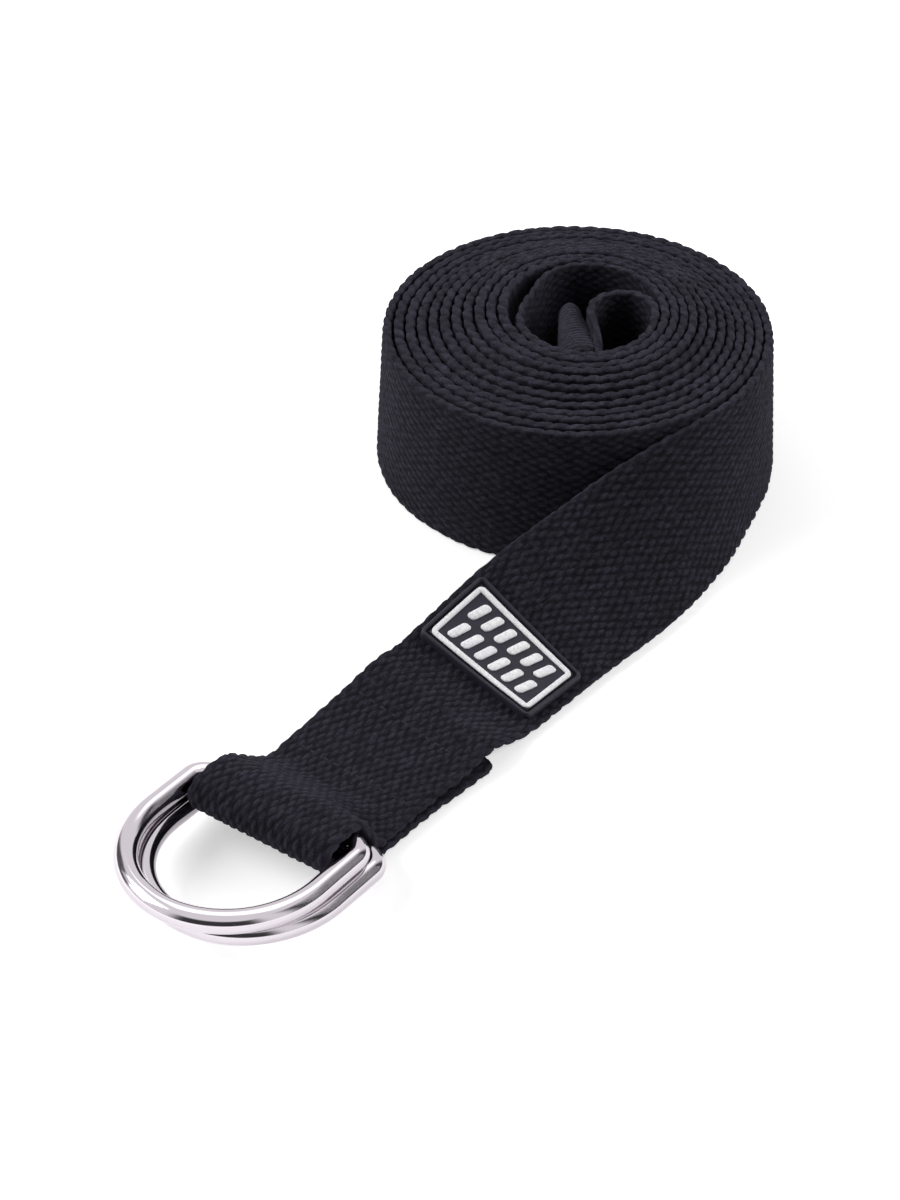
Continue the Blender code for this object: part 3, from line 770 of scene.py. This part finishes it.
def webbing(name, begin, end, per_wave, outer_columns, inner_columns):
    """Closed strip of the strap between two stations, with its weave as relief."""
    count = max(2, int(round((end - begin) / WAVE * per_wave)) + 1)
    s = np.linspace(begin, end, count)
    centre, across, normal = strap_at(s)
    v, n, dv, dn, row, turn, kind = section(outer_columns, inner_columns).T
    along = s[:, None]
    on_edge = kind % 2 == 1
    spare = FOLD_BACK_CORNER - np.clip(strap_length - s, 0.0, FOLD_BACK_CORNER)
    narrow = FOLD_BACK_CORNER - np.sqrt(FOLD_BACK_CORNER ** 2 - spare ** 2)
    v = v * (1.0 - 2.0 * narrow[:, None] / WEB_WIDTH)
    fill = np.interp(s, coil_stations, snug, left=1.0, right=1.0)[:, None]
    n = np.where(on_edge, fill * n, n)
    swell = np.interp(s, coil_stations, between, left=TURN_SWELL, right=TURN_SWELL)[:, None]
    depths = [WEAVE_DEPTH if k >= WOVEN_COLUMNS else 0.0 for k in (outer_columns, inner_columns)]
    height = np.select(
        (kind == 0, kind == 1, kind == 2),
        (weave(along, row, 0), selvedge(along, turn, 0), weave(along, row, 1)),
        selvedge(along, turn, 1))
    faces = (kind == 0, kind == 2)
    depth = np.select(faces, depths, SELVEDGE_DEPTH)
    lift = depth * (height - np.select(faces, (OUTER_LEVEL, INNER_LEVEL), EDGE_LEVEL))
    lift = np.where((depth == 0.0) & (np.abs(v) < WEB_WIDTH / 4.0), swell, lift)
    wobble = EDGE_WOBBLE * (1.0 + rough(s, 0.0, WOBBLE_CELL))
    wobble = wobble * smooth((outer_start - s) / WOBBLE_FADE)
    centre = centre + wobble[:, None] * UP
    points = (centre[:, None] + (v + dv * lift)[..., None] * across[:, None]
              + (n + dn * lift - cup(along, v))[..., None] * normal[:, None])
    points[..., 2] = np.maximum(points[..., 2] - drop(along, v), 0.0)
    obj = tube(name, points, False, web_black)
    # Painted shade on the edges: low strands and the crevices between them take the darker valley
    # colour
    edge_shade = np.clip(EDGE_SHADE_LEAST + EDGE_SHADE_SHARE * height, 0.0, 1.0)
    where = np.stack(np.broadcast_arrays(along, v, SIDES_APART * kind), axis=-1)
    tag(obj, np.where(on_edge, edge_shade, height), where)
    return obj


# Strips of the strap: points to a wave, columns on the outer and the inner face
STRIPS = (
    ("webbing_core", 8, 2 * WEAVE_ROWS, 3 * WEAVE_ROWS),
    ("webbing_coil_inner", 10, HIDDEN_COLUMNS, HIDDEN_COLUMNS),
    ("webbing_coil_outer", 10, HIDDEN_COLUMNS, HIDDEN_COLUMNS),
    ("webbing_outer", 8, 3 * WEAVE_ROWS, HIDDEN_COLUMNS),
    ("webbing_run", 9, 4 * WEAVE_ROWS, 2 * WEAVE_ROWS),
    ("webbing_tail", 9, 4 * WEAVE_ROWS, 2 * WEAVE_ROWS),
)
cuts = (0.0, core_end, coil_middle, outer_start, lead_start, label_station, strap_length)
strips = [webbing(name, begin, end, *grid) for (name, *grid), begin, end in zip(STRIPS, cuts, cuts[1:])]
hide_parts("webbing_roll")
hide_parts("webbing_lead")
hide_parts("webbing_fold", "webbing_fold_back")


# Hem: the free end turned over, a fat smooth fold with fine ribs across it
HEM_RIB = 0.0011
HEM_RIB_DEPTH = 0.00022
HEM_CROWN = 0.0042
HEM_SINK = 0.0014
HEM_COVER = 0.0012
HEM_SHORT = 0.0015
HEM_STEPS = 20
HEM_ROWS = 48
HEM_FINE_ROWS = 288
HEM_FINE_SKIP = 4
HEM_END_TURN = 0.04
HEM_COVER_SHARE = 0.6
HEM_END_CROWN = 0.55
HEM_WALL_RIB = 0.3
# Painted shade in the grooves between the hem's ribs
HEM_GROOVE_SHADE = 0.25

run_length = math.hypot(INNER_SLANT, INNER_RUN)
hem_way = unit(np.array((INNER_SLANT, -INNER_RUN)))
hem_left = -outward_of(hem_way)
hem_start = curl_plan[0] + hem_left * (WEB_THICKNESS / 2.0 + FIT_GAP)
hem_back = np.array((run_length - HEM_LENGTH + HEM_BACK_RADIUS, HEM_BACK_RADIUS))
hem_front = np.array((run_length - HEM_FRONT_RADIUS, HEM_FRONT_RADIUS))
hem_side = math.pi / 2.0 + 2.0 * math.atan2(hem_front[1] - hem_back[1], hem_front[0] - hem_back[0])


def hem_plan(points):
    """Points along and beside the last run, to the axes of the part."""
    return turned(hem_start + points[..., :1] * hem_way + points[..., 1:] * hem_left)


def hem():
    """Ridge along the last run: slices across it, each a half ellipse on two walls."""
    back = hem_back[0] - HEM_BACK_RADIUS
    front = run_length - HEM_SHORT
    share = 0.5 - 0.5 * np.cos(np.linspace(HEM_END_TURN, math.pi - HEM_END_TURN, HEM_ROWS))
    fine = np.linspace(back, front, HEM_FINE_ROWS)[HEM_FINE_SKIP:-HEM_FINE_SKIP]
    along = np.unique(np.concatenate((back + (front - back) * share, fine)))[:, None]
    left = 2.0 * np.interp(along, (hem_back[0], hem_front[0]), (HEM_BACK_RADIUS, HEM_FRONT_RADIUS))
    near_back = np.clip((hem_back[0] - along) / HEM_BACK_RADIUS, 0.0, 1.0)
    near_front = np.clip((along - hem_front[0] + HEM_SHORT) / HEM_FRONT_RADIUS, 0.0, 1.0)
    round_off = np.sqrt(1.0 - np.maximum(near_back, near_front) ** 4)
    right = -2.0 * HEM_COVER * smooth((along - hem_back[0]) / (HEM_COVER_SHARE * (front - back)))
    crown_up = HEM_CROWN * (HEM_END_CROWN + (1.0 - HEM_END_CROWN) * round_off)
    rib = 0.5 + 0.5 * np.cos(TURN * along / HEM_RIB)
    turn = np.linspace(0.0, math.pi, HEM_STEPS + 1)
    over = np.concatenate(((1.0,), np.cos(turn), (-1.0,)))
    up = np.concatenate(((0.0,), np.sin(turn), (0.0,)))
    beside = (left + right) / 2.0 + (left - right) / 2.0 * round_off * over
    spot = np.broadcast_to(along, beside.shape)
    ribbed = HEM_RIB_DEPTH * (1.0 - rib) * (HEM_WALL_RIB + (1.0 - HEM_WALL_RIB) * up)
    z = WEB_WIDTH - HEM_CROWN + crown_up * up - ribbed
    z[:, [0, -1]] = 0.0
    plan = hem_plan(np.stack((spot, beside), axis=-1))
    points = np.concatenate((plan, (CORE_RISE - HEM_SINK + z)[..., None]), axis=-1) + place
    obj = tube("webbing_hem_end", points[:, ::-1], False, hem_grey)
    # Painted shade in the grooves between the ribs
    relief = np.broadcast_to(HEM_GROOVE_SHADE + (1.0 - HEM_GROOVE_SHADE) * rib, beside.shape)
    tag(obj, relief, np.stack((spot, beside, z), axis=-1)[:, ::-1])
    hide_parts("webbing_hem")
    return obj


hem_end = hem()


# D-rings
def ring_line():
    """Middle line of a D-ring: bar on Y through the origin, bow towards +X."""
    r = (RING_WIDTH + RING_WIRE) / 2.0
    c = RING_CORNER
    corner = np.linspace(0.0, math.pi / 2.0, RING_CORNER_STEPS + 1)
    bow = np.linspace(math.pi / 2.0, -math.pi / 2.0, RING_BOW_STEPS + 1)
    shoulder = RING_LENGTH - RING_BOW
    bar_y = np.linspace(c - r, r - c, RING_BAR_POINTS + 2)[1:-1]
    arm_x = np.linspace(c, shoulder, RING_ARM_POINTS + 2)[1:-1]
    straight = np.stack((np.zeros(RING_BAR_POINTS), bar_y), axis=-1)
    left = np.stack((c - c * np.cos(corner), r - c + c * np.sin(corner)), axis=-1)
    arm = np.stack((arm_x, np.full(RING_ARM_POINTS, r)), axis=-1)
    curve = np.stack((shoulder + RING_BOW * np.cos(bow), r * np.sin(bow)), axis=-1)
    mirror = np.array((1.0, -1.0))
    return np.vstack((straight, left, arm, curve, arm[::-1] * mirror, left[::-1] * mirror))


def d_ring(name, joint, replaced):
    """Round wire along the ring's line, raised as at rest and set on its joint."""
    line = ring_line()
    way = unit(np.roll(line, -1, axis=0) - np.roll(line, 1, axis=0))
    side = np.stack((way[:, 1], -way[:, 0]), axis=-1)
    turn = -np.linspace(0.0, TURN, RING_SIDES + 1)[:-1]
    flat = line[:, None] + RING_WIRE / 2.0 * np.cos(turn)[None, :, None] * side[:, None]
    up = np.broadcast_to(RING_WIRE / 2.0 * np.sin(turn), flat.shape[:2])
    x = flat[..., 0] * math.cos(RING_LIFT) - up * math.sin(RING_LIFT)
    z = up * math.cos(RING_LIFT) + flat[..., 0] * math.sin(RING_LIFT)
    points = np.stack((x, flat[..., 1], z), axis=-1) + np.array(joint["pos_m"])
    obj = tube(name, points, True, nickel, joint["child"])
    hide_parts(replaced)


d_ring("ring_upper", upper_joint, "d_ring_upper")
d_ring("ring_lower", lower_joint, "d_ring_lower")


# Label
def rounded(a, b):
    """Insets from two edges, pulled in near a corner so that the outline is round."""
    insets = np.stack((a, b), axis=-1)
    p = np.clip(LABEL_CORNER - insets, 0.0, None)
    size = np.linalg.norm(p, axis=-1)
    scale = np.where(p.min(-1) > 0.0, p.max(-1) / np.maximum(size, 1e-12), 1.0)
    moved = np.where(p > 0.0, LABEL_CORNER - p * scale[..., None], insets)
    return moved[..., 0], moved[..., 1]


def label_height(inset):
    """Height of the moulding at a distance in from its edge: bead, sewn groove, flat field."""
    across_rim = np.clip(inset / LABEL_RIM, 0.0, 1.0)
    crown_up = np.clip(1.0 - np.abs(2.0 * across_rim - 1.0) ** BEAD_ROUND, 0.0, 1.0) ** BEAD_FULL
    base = np.where(across_rim < 0.5, 0.0, LABEL_FIELD_HEIGHT - LABEL_GROOVE_DEPTH)
    bead = base + (LABEL_RIM_HEIGHT - base) * crown_up
    climbing = inset - LABEL_RIM - LABEL_GROOVE * GROOVE_FLAT
    out_of_groove = smooth(climbing / (LABEL_GROOVE * (1.0 - GROOVE_FLAT)))
    field = LABEL_FIELD_HEIGHT - LABEL_GROOVE_DEPTH * (1.0 - out_of_groove)
    return np.where(inset < LABEL_RIM, bead, field)


def label_patch():
    """Moulding with a bead round its edge, on a grid that is fine at the bead and the groove."""
    rim = LABEL_RIM / 2.0 * (1.0 - np.cos(np.linspace(0.0, math.pi, BEAD_LINES)))
    edge = np.concatenate((rim, LABEL_RIM + LABEL_GROOVE * np.array(GROOVE_LINES)))

    def lines(length):
        inner = np.arange(edge[-1], length - edge[-1], LABEL_STEP)[1:]
        return np.concatenate((edge, inner, length - edge[::-1]))

    d, v = np.meshgrid(lines(LABEL_LENGTH), lines(LABEL_ACROSS), indexing="ij")
    near_d, near_v = np.minimum(d, LABEL_LENGTH - d), np.minimum(v, LABEL_ACROSS - v)
    up = label_height(np.minimum(near_d, near_v))
    round_d, round_v = rounded(near_d, near_v)
    along = np.where(d <= LABEL_LENGTH / 2.0, round_d, LABEL_LENGTH - round_d)
    over = np.where(v <= LABEL_ACROSS / 2.0, round_v, LABEL_ACROSS - round_v)
    at = LABEL_AT - LABEL_LENGTH / 2.0 + along
    across = LABEL_SHIFT - LABEL_ACROSS / 2.0 + over
    top = on_lead(at, across, up)
    low = on_lead(at, across, np.full_like(up, -LABEL_EMBED))
    rows, cols = d.shape
    below = rows * cols
    index = np.arange(below).reshape(rows, cols)
    a, b = index[:-1, :-1].ravel(), index[1:, :-1].ravel()
    faces = np.stack((a, a + 1, b + 1, b), axis=-1).tolist()
    faces += np.stack((below + a, below + b, below + b + 1, below + a + 1), axis=-1).tolist()
    border = np.concatenate((index[0, :-1], index[:-1, -1], index[-1, :0:-1], index[:0:-1, 0]))
    after = np.roll(border, -1)
    faces += np.stack((border, below + border, below + after, after), axis=-1).tolist()
    obj = make("label_moulding", np.stack((top, low)), faces, label_grey)
    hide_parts("label_patch")


def label_loop():
    """Rounded rectangle on the label: points along and across, with their outward directions."""
    half = np.array((LABEL_LENGTH, LABEL_ACROSS)) / 2.0 - FRAME_INSET - FRAME_CORNER
    signs = ((1.0, 1.0), (-1.0, 1.0), (-1.0, -1.0), (1.0, -1.0))
    points, outward = [], []
    for k, sign in enumerate(signs):
        for turn in np.linspace(0.0, math.pi / 2.0, FRAME_CORNER_POINTS) + k * math.pi / 2.0:
            way = np.array((math.cos(turn), math.sin(turn)))
            points.append(half * sign + FRAME_CORNER * way)
            outward.append(way)
        start = points[-1]
        stop = half * signs[(k + 1) % 4] + FRAME_CORNER * way
        for m in range(1, FRAME_SIDE_POINTS):
            points.append(start + (stop - start) * m / FRAME_SIDE_POINTS)
            outward.append(way)
    return np.array(points) + np.array((LABEL_AT, LABEL_SHIFT)), np.array(outward)


def label_line():
    """White line moulded on the field, with rounded shoulders."""
    route_dv, out_dv = label_loop()
    rows = []
    for share, up in FRAME_PROFILE:
        at = route_dv + out_dv * share * FRAME_WIDTH
        rows.append(on_lead(at[:, 0], at[:, 1], LABEL_FIELD_HEIGHT + up * FRAME_HEIGHT))
    obj = tube("label_line", np.stack(rows, axis=1), True, label_white)
    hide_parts("label_frame")


def label_bars():
    """Plain slanted bars, all alike, where the label carries its print."""
    points, faces = [], []
    sides = 4 * BAR_CORNER_STEPS
    turn = np.linspace(0.0, TURN, sides + 1)[:-1]
    circle = np.stack((np.cos(turn), np.sin(turn)), axis=-1)
    past = turn + BAR_NUDGE
    quarter = np.sign(np.stack((np.cos(past), np.sin(past)), axis=-1))
    outline = quarter * (np.array((BAR_LENGTH, BAR_WIDTH)) / 2.0 - BAR_CORNER) + BAR_CORNER * circle
    for row in BAR_ROWS:
        for k in range(BAR_COUNT):
            over = (k - (BAR_COUNT - 1) / 2.0) * BAR_PITCH
            faces += capped(len(BAR_LEVELS), sides, len(points) * sides)
            for scale, up in BAR_LEVELS:
                shape = outline * scale
                at = LABEL_AT + row + shape[:, 0]
                across = LABEL_SHIFT + over + shape[:, 1] + BAR_SLANT * shape[:, 0]
                points.append(on_lead(at, across, LABEL_FIELD_HEIGHT + up))
    obj = make("label_bars", np.vstack(points), faces, label_white)


label_patch()
label_line()
label_bars()

# Thread: separate stitches, each a short bowed capsule
STITCH_SHARE = 0.8
STITCH_SINK = 0.0002
STITCH_POINTS = 7
STITCH_SIDES = 8
STITCH_TIP = 0.02
STITCH_RISE = 0.3
STITCH_DIP = 1.1
LABEL_THREAD_PROUD = 0.4


def stitches(name, starts, stops, normals, thread, replaced):
    """One piece of separate stitches between pairs of points, for a thread of that radius."""
    t = np.linspace(-1.0, 1.0, STITCH_POINTS)
    turn = np.linspace(0.0, TURN, STITCH_SIDES + 1)[:-1]
    radius = thread * np.sqrt(np.clip(1.0 - np.abs(t) ** 4, STITCH_TIP, 1.0))[:, None]
    bow = thread * (STITCH_RISE - STITCH_DIP * t ** 2)[:, None]
    points, faces = [], []
    for start, stop, normal in zip(starts, stops, normals):
        way = (stop - start) / np.linalg.norm(stop - start)
        side = np.cross(way, normal)
        line = (start + stop) / 2.0 + t[:, None] * (stop - start) / 2.0 + bow * normal
        rings = (line[:, None] + (radius * np.cos(turn))[..., None] * side
                 - (radius * np.sin(turn))[..., None] * normal)
        faces += capped(STITCH_POINTS, STITCH_SIDES, len(points) * STITCH_POINTS * STITCH_SIDES)
        points.append(rings.reshape(-1, 3))
    obj = make(name, np.vstack(points), faces, thread_black)
    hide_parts(replaced)


def stitch_spans(length):
    """Begin and end of each stitch along a straight row."""
    count = max(2, int(round(length / STITCH_LENGTH)))
    begin = np.arange(count) * length / count
    return begin, begin + STITCH_SHARE * length / count


def crossing(name, at, replaced):
    """Row of stitches across the lead, at a plan distance from the roll."""
    begin, end = stitch_spans(WEB_WIDTH - 2.0 * STITCH_INSET)
    left = STITCH_INSET - WEB_WIDTH / 2.0
    where = np.full_like(begin, at)
    starts, stops = (on_lead(where, left + over, -STITCH_SINK) for over in (begin, end))
    normals = strap_at(np.interp(where, dense, lead_stations))[2]
    stitches(name, starts, stops, normals, THREAD_RADIUS, replaced)


crossing("stitches_front", lead_length - FRONT_STITCH_AT, "fold_stitch_front")
crossing("stitches_rear", fold_back_end + REAR_STITCH_INSET, "fold_stitch_rear")


def label_stitches():
    """Stitches in the groove round the label's field."""
    d = LABEL_LENGTH / 2.0 - LABEL_STITCH_INSET
    v = LABEL_ACROSS / 2.0 - LABEL_STITCH_INSET
    corners = np.array(((-d, -v), (d, -v), (d, v), (-d, v))) + np.array((LABEL_AT, LABEL_SHIFT))
    starts, stops = [], []
    for start, stop in zip(corners, np.roll(corners, -1, axis=0)):
        length = np.linalg.norm(stop - start)
        begin, end = stitch_spans(length)
        starts.append(start + (stop - start) * (begin / length)[:, None])
        stops.append(start + (stop - start) * (end / length)[:, None])
    starts, stops = np.vstack(starts), np.vstack(stops)
    normals = strap_at(np.interp(starts[:, 0], dense, lead_stations))[2]
    up = LABEL_FIELD_HEIGHT - LABEL_GROOVE_DEPTH + LABEL_THREAD_RADIUS * LABEL_THREAD_PROUD
    starts, stops = (on_lead(ends[:, 0], ends[:, 1], up) for ends in (starts, stops))
    stitches("label_stitches", starts, stops, normals, LABEL_THREAD_RADIUS, "label_stitching")


def hem_stitches():
    """Upright row of stitches in the hem's side."""
    out = np.array((math.cos(hem_side), math.sin(hem_side)))
    along = np.array((math.sin(hem_side), -math.cos(hem_side)))
    spot = hem_back + HEM_BACK_RADIUS * out + HEM_STITCH_INSET * along
    begin, end = stitch_spans(WEB_WIDTH - HEM_CROWN - 2.0 * STITCH_INSET)
    plan, beyond = hem_plan(np.stack((spot, spot + out)))
    foot = np.append(plan, CORE_RISE + STITCH_INSET) + place
    normals = np.tile(np.append(beyond - plan, 0.0), (len(begin), 1))
    starts, stops = foot + begin[:, None] * UP, foot + end[:, None] * UP
    stitches("hem_stitches", starts, stops, normals, THREAD_RADIUS, "hem_stitching")


label_stitches()
hem_stitches()


# Stage: pale floor, soft studio light and the camera
FLOOR_HALF = 3.0
FLOOR_BELOW = 0.0003
FLOOR_SEEN = (0.9, 0.9, 0.9)
FLOOR_BOUNCE = (0.5, 0.5, 0.5)
FLOOR_GLOW = 0.5
FLOOR_FADE = (0.1, 0.45)
# Painted shade in the roll's core: the floor's glow there, and where it comes back
CORE_SHADE_GLOW = 0.1
CORE_SHADE_FADE = (0.03, 0.05)
SKY_LIGHT = 0.14
CARD_DISTANCE = 1.0
CARD_COLUMNS = 25
CARD_ROWS = 13
CARD_FADE = 0.2
view_right = np.array((math.cos(CAMERA_AZIMUTH), math.sin(CAMERA_AZIMUTH), 0.0))
view_away = np.array((-math.sin(CAMERA_AZIMUTH), math.cos(CAMERA_AZIMUTH), 0.0))


def seen_directly(tree):
    """One where the camera, a reflection or a see-through ray looks at it, else nothing."""
    path = node(tree, "ShaderNodeLightPath").outputs
    seen = path["Is Camera Ray"]
    for ray in ("Is Glossy Ray", "Is Transmission Ray"):
        seen = maths(tree, "ShaderNodeMath", "MAXIMUM", seen, path[ray]).outputs["Value"]
    return seen


def set_piece(name, points, faces, material):
    """Stage object that isn't part of the strap."""
    mesh = bpy.data.meshes.new(name)
    mesh.from_pydata(points, [], faces)
    mesh.materials.append(material)
    obj = bpy.data.objects.new(name, mesh)
    bpy.context.scene.collection.objects.link(obj)
    return obj


def floor():
    """White floor that glows where it is seen, less near the strap, and little in the roll's core,
    where the dimmed glow is painted shade.
    """
    material, tree, principled = shader("floor_white", FLOOR_SEEN, 0.0, 0.9)
    seen = seen_directly(tree)
    tone = ramp(tree, ((0.0, FLOOR_BOUNCE), (1.0, FLOOR_SEEN)))
    tree.links.new(seen, tone.inputs["Fac"])
    tree.links.new(tone.outputs["Color"], principled.inputs["Base Color"])
    where = node(tree, "ShaderNodeTexCoord").outputs["Object"]
    far = maths(tree, "ShaderNodeVectorMath", "LENGTH", where).outputs["Value"]
    from_roll = maths(tree, "ShaderNodeVectorMath", "DISTANCE", where, place).outputs["Value"]
    fade = map_range(tree, far, *FLOOR_FADE, FLOOR_GLOW, 1.0)
    # Painted shade: the floor's glow is cut down inside the roll's core
    hollow = map_range(tree, from_roll, *CORE_SHADE_FADE, CORE_SHADE_GLOW, 1.0)
    glow = product(tree, product(tree, fade, hollow), seen)
    tree.links.new(glow, principled.inputs["Emission Strength"])
    give(principled, Specular_IOR_Level=0.0, Emission_Color=(1.0, 1.0, 1.0, 1.0))
    corners = [(x * FLOOR_HALF, y * FLOOR_HALF, 0.0) for x, y in ((-1, -1), (1, -1), (1, 1), (-1, 1))]
    obj = set_piece("floor", corners, [(0, 1, 2, 3)], material)
    obj.location.z = -FLOOR_BELOW


def world():
    """White sky, dimmer as a light than it looks."""
    sky = bpy.data.worlds.new("studio")
    sky.use_nodes = True
    tree = sky.node_tree
    background = give(tree.nodes["Background"], Color=(1.0, 1.0, 1.0, 1.0))
    level = map_range(tree, seen_directly(tree), 0.0, 1.0, SKY_LIGHT, 1.0)
    tree.links.new(level, background.inputs["Strength"])
    bpy.context.scene.world = sky


def softbox(name, right_by, away_by, up_by, size, power):
    """Square lamp aimed at the middle of the strap."""
    lamp = bpy.data.lights.new(name, "AREA")
    lamp.size = size
    lamp.energy = power
    obj = bpy.data.objects.new(name, lamp)
    spot = right_by * view_right + away_by * view_away + up_by * UP
    obj.location = spot
    obj.rotation_euler = Vector(-spot).to_track_quat("-Z", "Y").to_euler()
    bpy.context.scene.collection.objects.link(obj)


def card_material():
    """Black, clear towards the card's edges."""
    material, tree, principled = shader("card_black", (0.01, 0.01, 0.012), 0.0, 1.0)
    tree.links.new(attribute(tree, "fade").outputs["Fac"], principled.inputs["Alpha"])
    return material


def dark_card(name, first, last, low, high, dark):
    """Curved black card round the set, which only reflections see, as a photographer's flag.

    Angles in degrees: first and last to the right of the camera's side, low and high above
    the floor.
    """
    a, b = np.meshgrid(np.linspace(0.0, 1.0, CARD_COLUMNS), np.linspace(0.0, 1.0, CARD_ROWS))
    turn = np.radians(first + (last - first) * a)[..., None]
    up = CARD_DISTANCE * np.tan(np.radians(low + (high - low) * b))
    points = CARD_DISTANCE * (np.sin(turn) * view_right - np.cos(turn) * view_away)
    points[..., 2] = up
    index = np.arange(a.size).reshape(a.shape)
    corner = index[:-1, :-1].ravel()
    above = corner + CARD_COLUMNS
    faces = np.stack((corner, corner + 1, above + 1, above), axis=-1)
    obj = set_piece(name, points.reshape(-1, 3).tolist(), faces.tolist(), card_black)
    edge = np.minimum(np.minimum(a, 1.0 - a), np.minimum(b, 1.0 - b)) / CARD_FADE
    values = obj.data.attributes.new("fade", "FLOAT", "POINT")
    values.data.foreach_set("value", (dark * smooth(edge)).astype(np.float32).ravel())
    obj.visible_camera = False
    obj.visible_diffuse = False
    obj.visible_shadow = False


card_black = card_material()


def camera():
    lens = bpy.data.cameras.new("camera")
    lens.sensor_width = SENSOR
    lens.lens = FOCAL_PIXELS / max(FRAME_PIXELS) * SENSOR
    lens.dof.use_dof = False
    obj = bpy.data.objects.new("camera", lens)
    obj.location = np.array(CAMERA_FROM_ROLL) + place
    tip = Matrix.Rotation(math.pi / 2.0 - CAMERA_ELEVATION, 3, "X")
    obj.rotation_euler = (Matrix.Rotation(CAMERA_AZIMUTH, 3, "Z") @ tip).to_euler()
    bpy.context.scene.collection.objects.link(obj)
    bpy.context.scene.camera = obj


floor()
world()
softbox("softbox_left", -1.05, 0.1, 0.8, 0.9, 15.3)
softbox("softbox_top", 0.1, 0.7, 1.5, 1.2, 4.1)
softbox("softbox_right", 1.2, 0.0, 0.6, 0.8, 10.6)
dark_card("card_front", -52.0, 36.0, -6.0, 44.0, 0.97)
dark_card("card_right", 46.0, 134.0, -6.0, 52.0, 0.97)
dark_card("card_back", -145.0, -90.0, 0.0, 40.0, 0.9)
camera()
bpy.context.scene.view_settings.view_transform = "Standard"
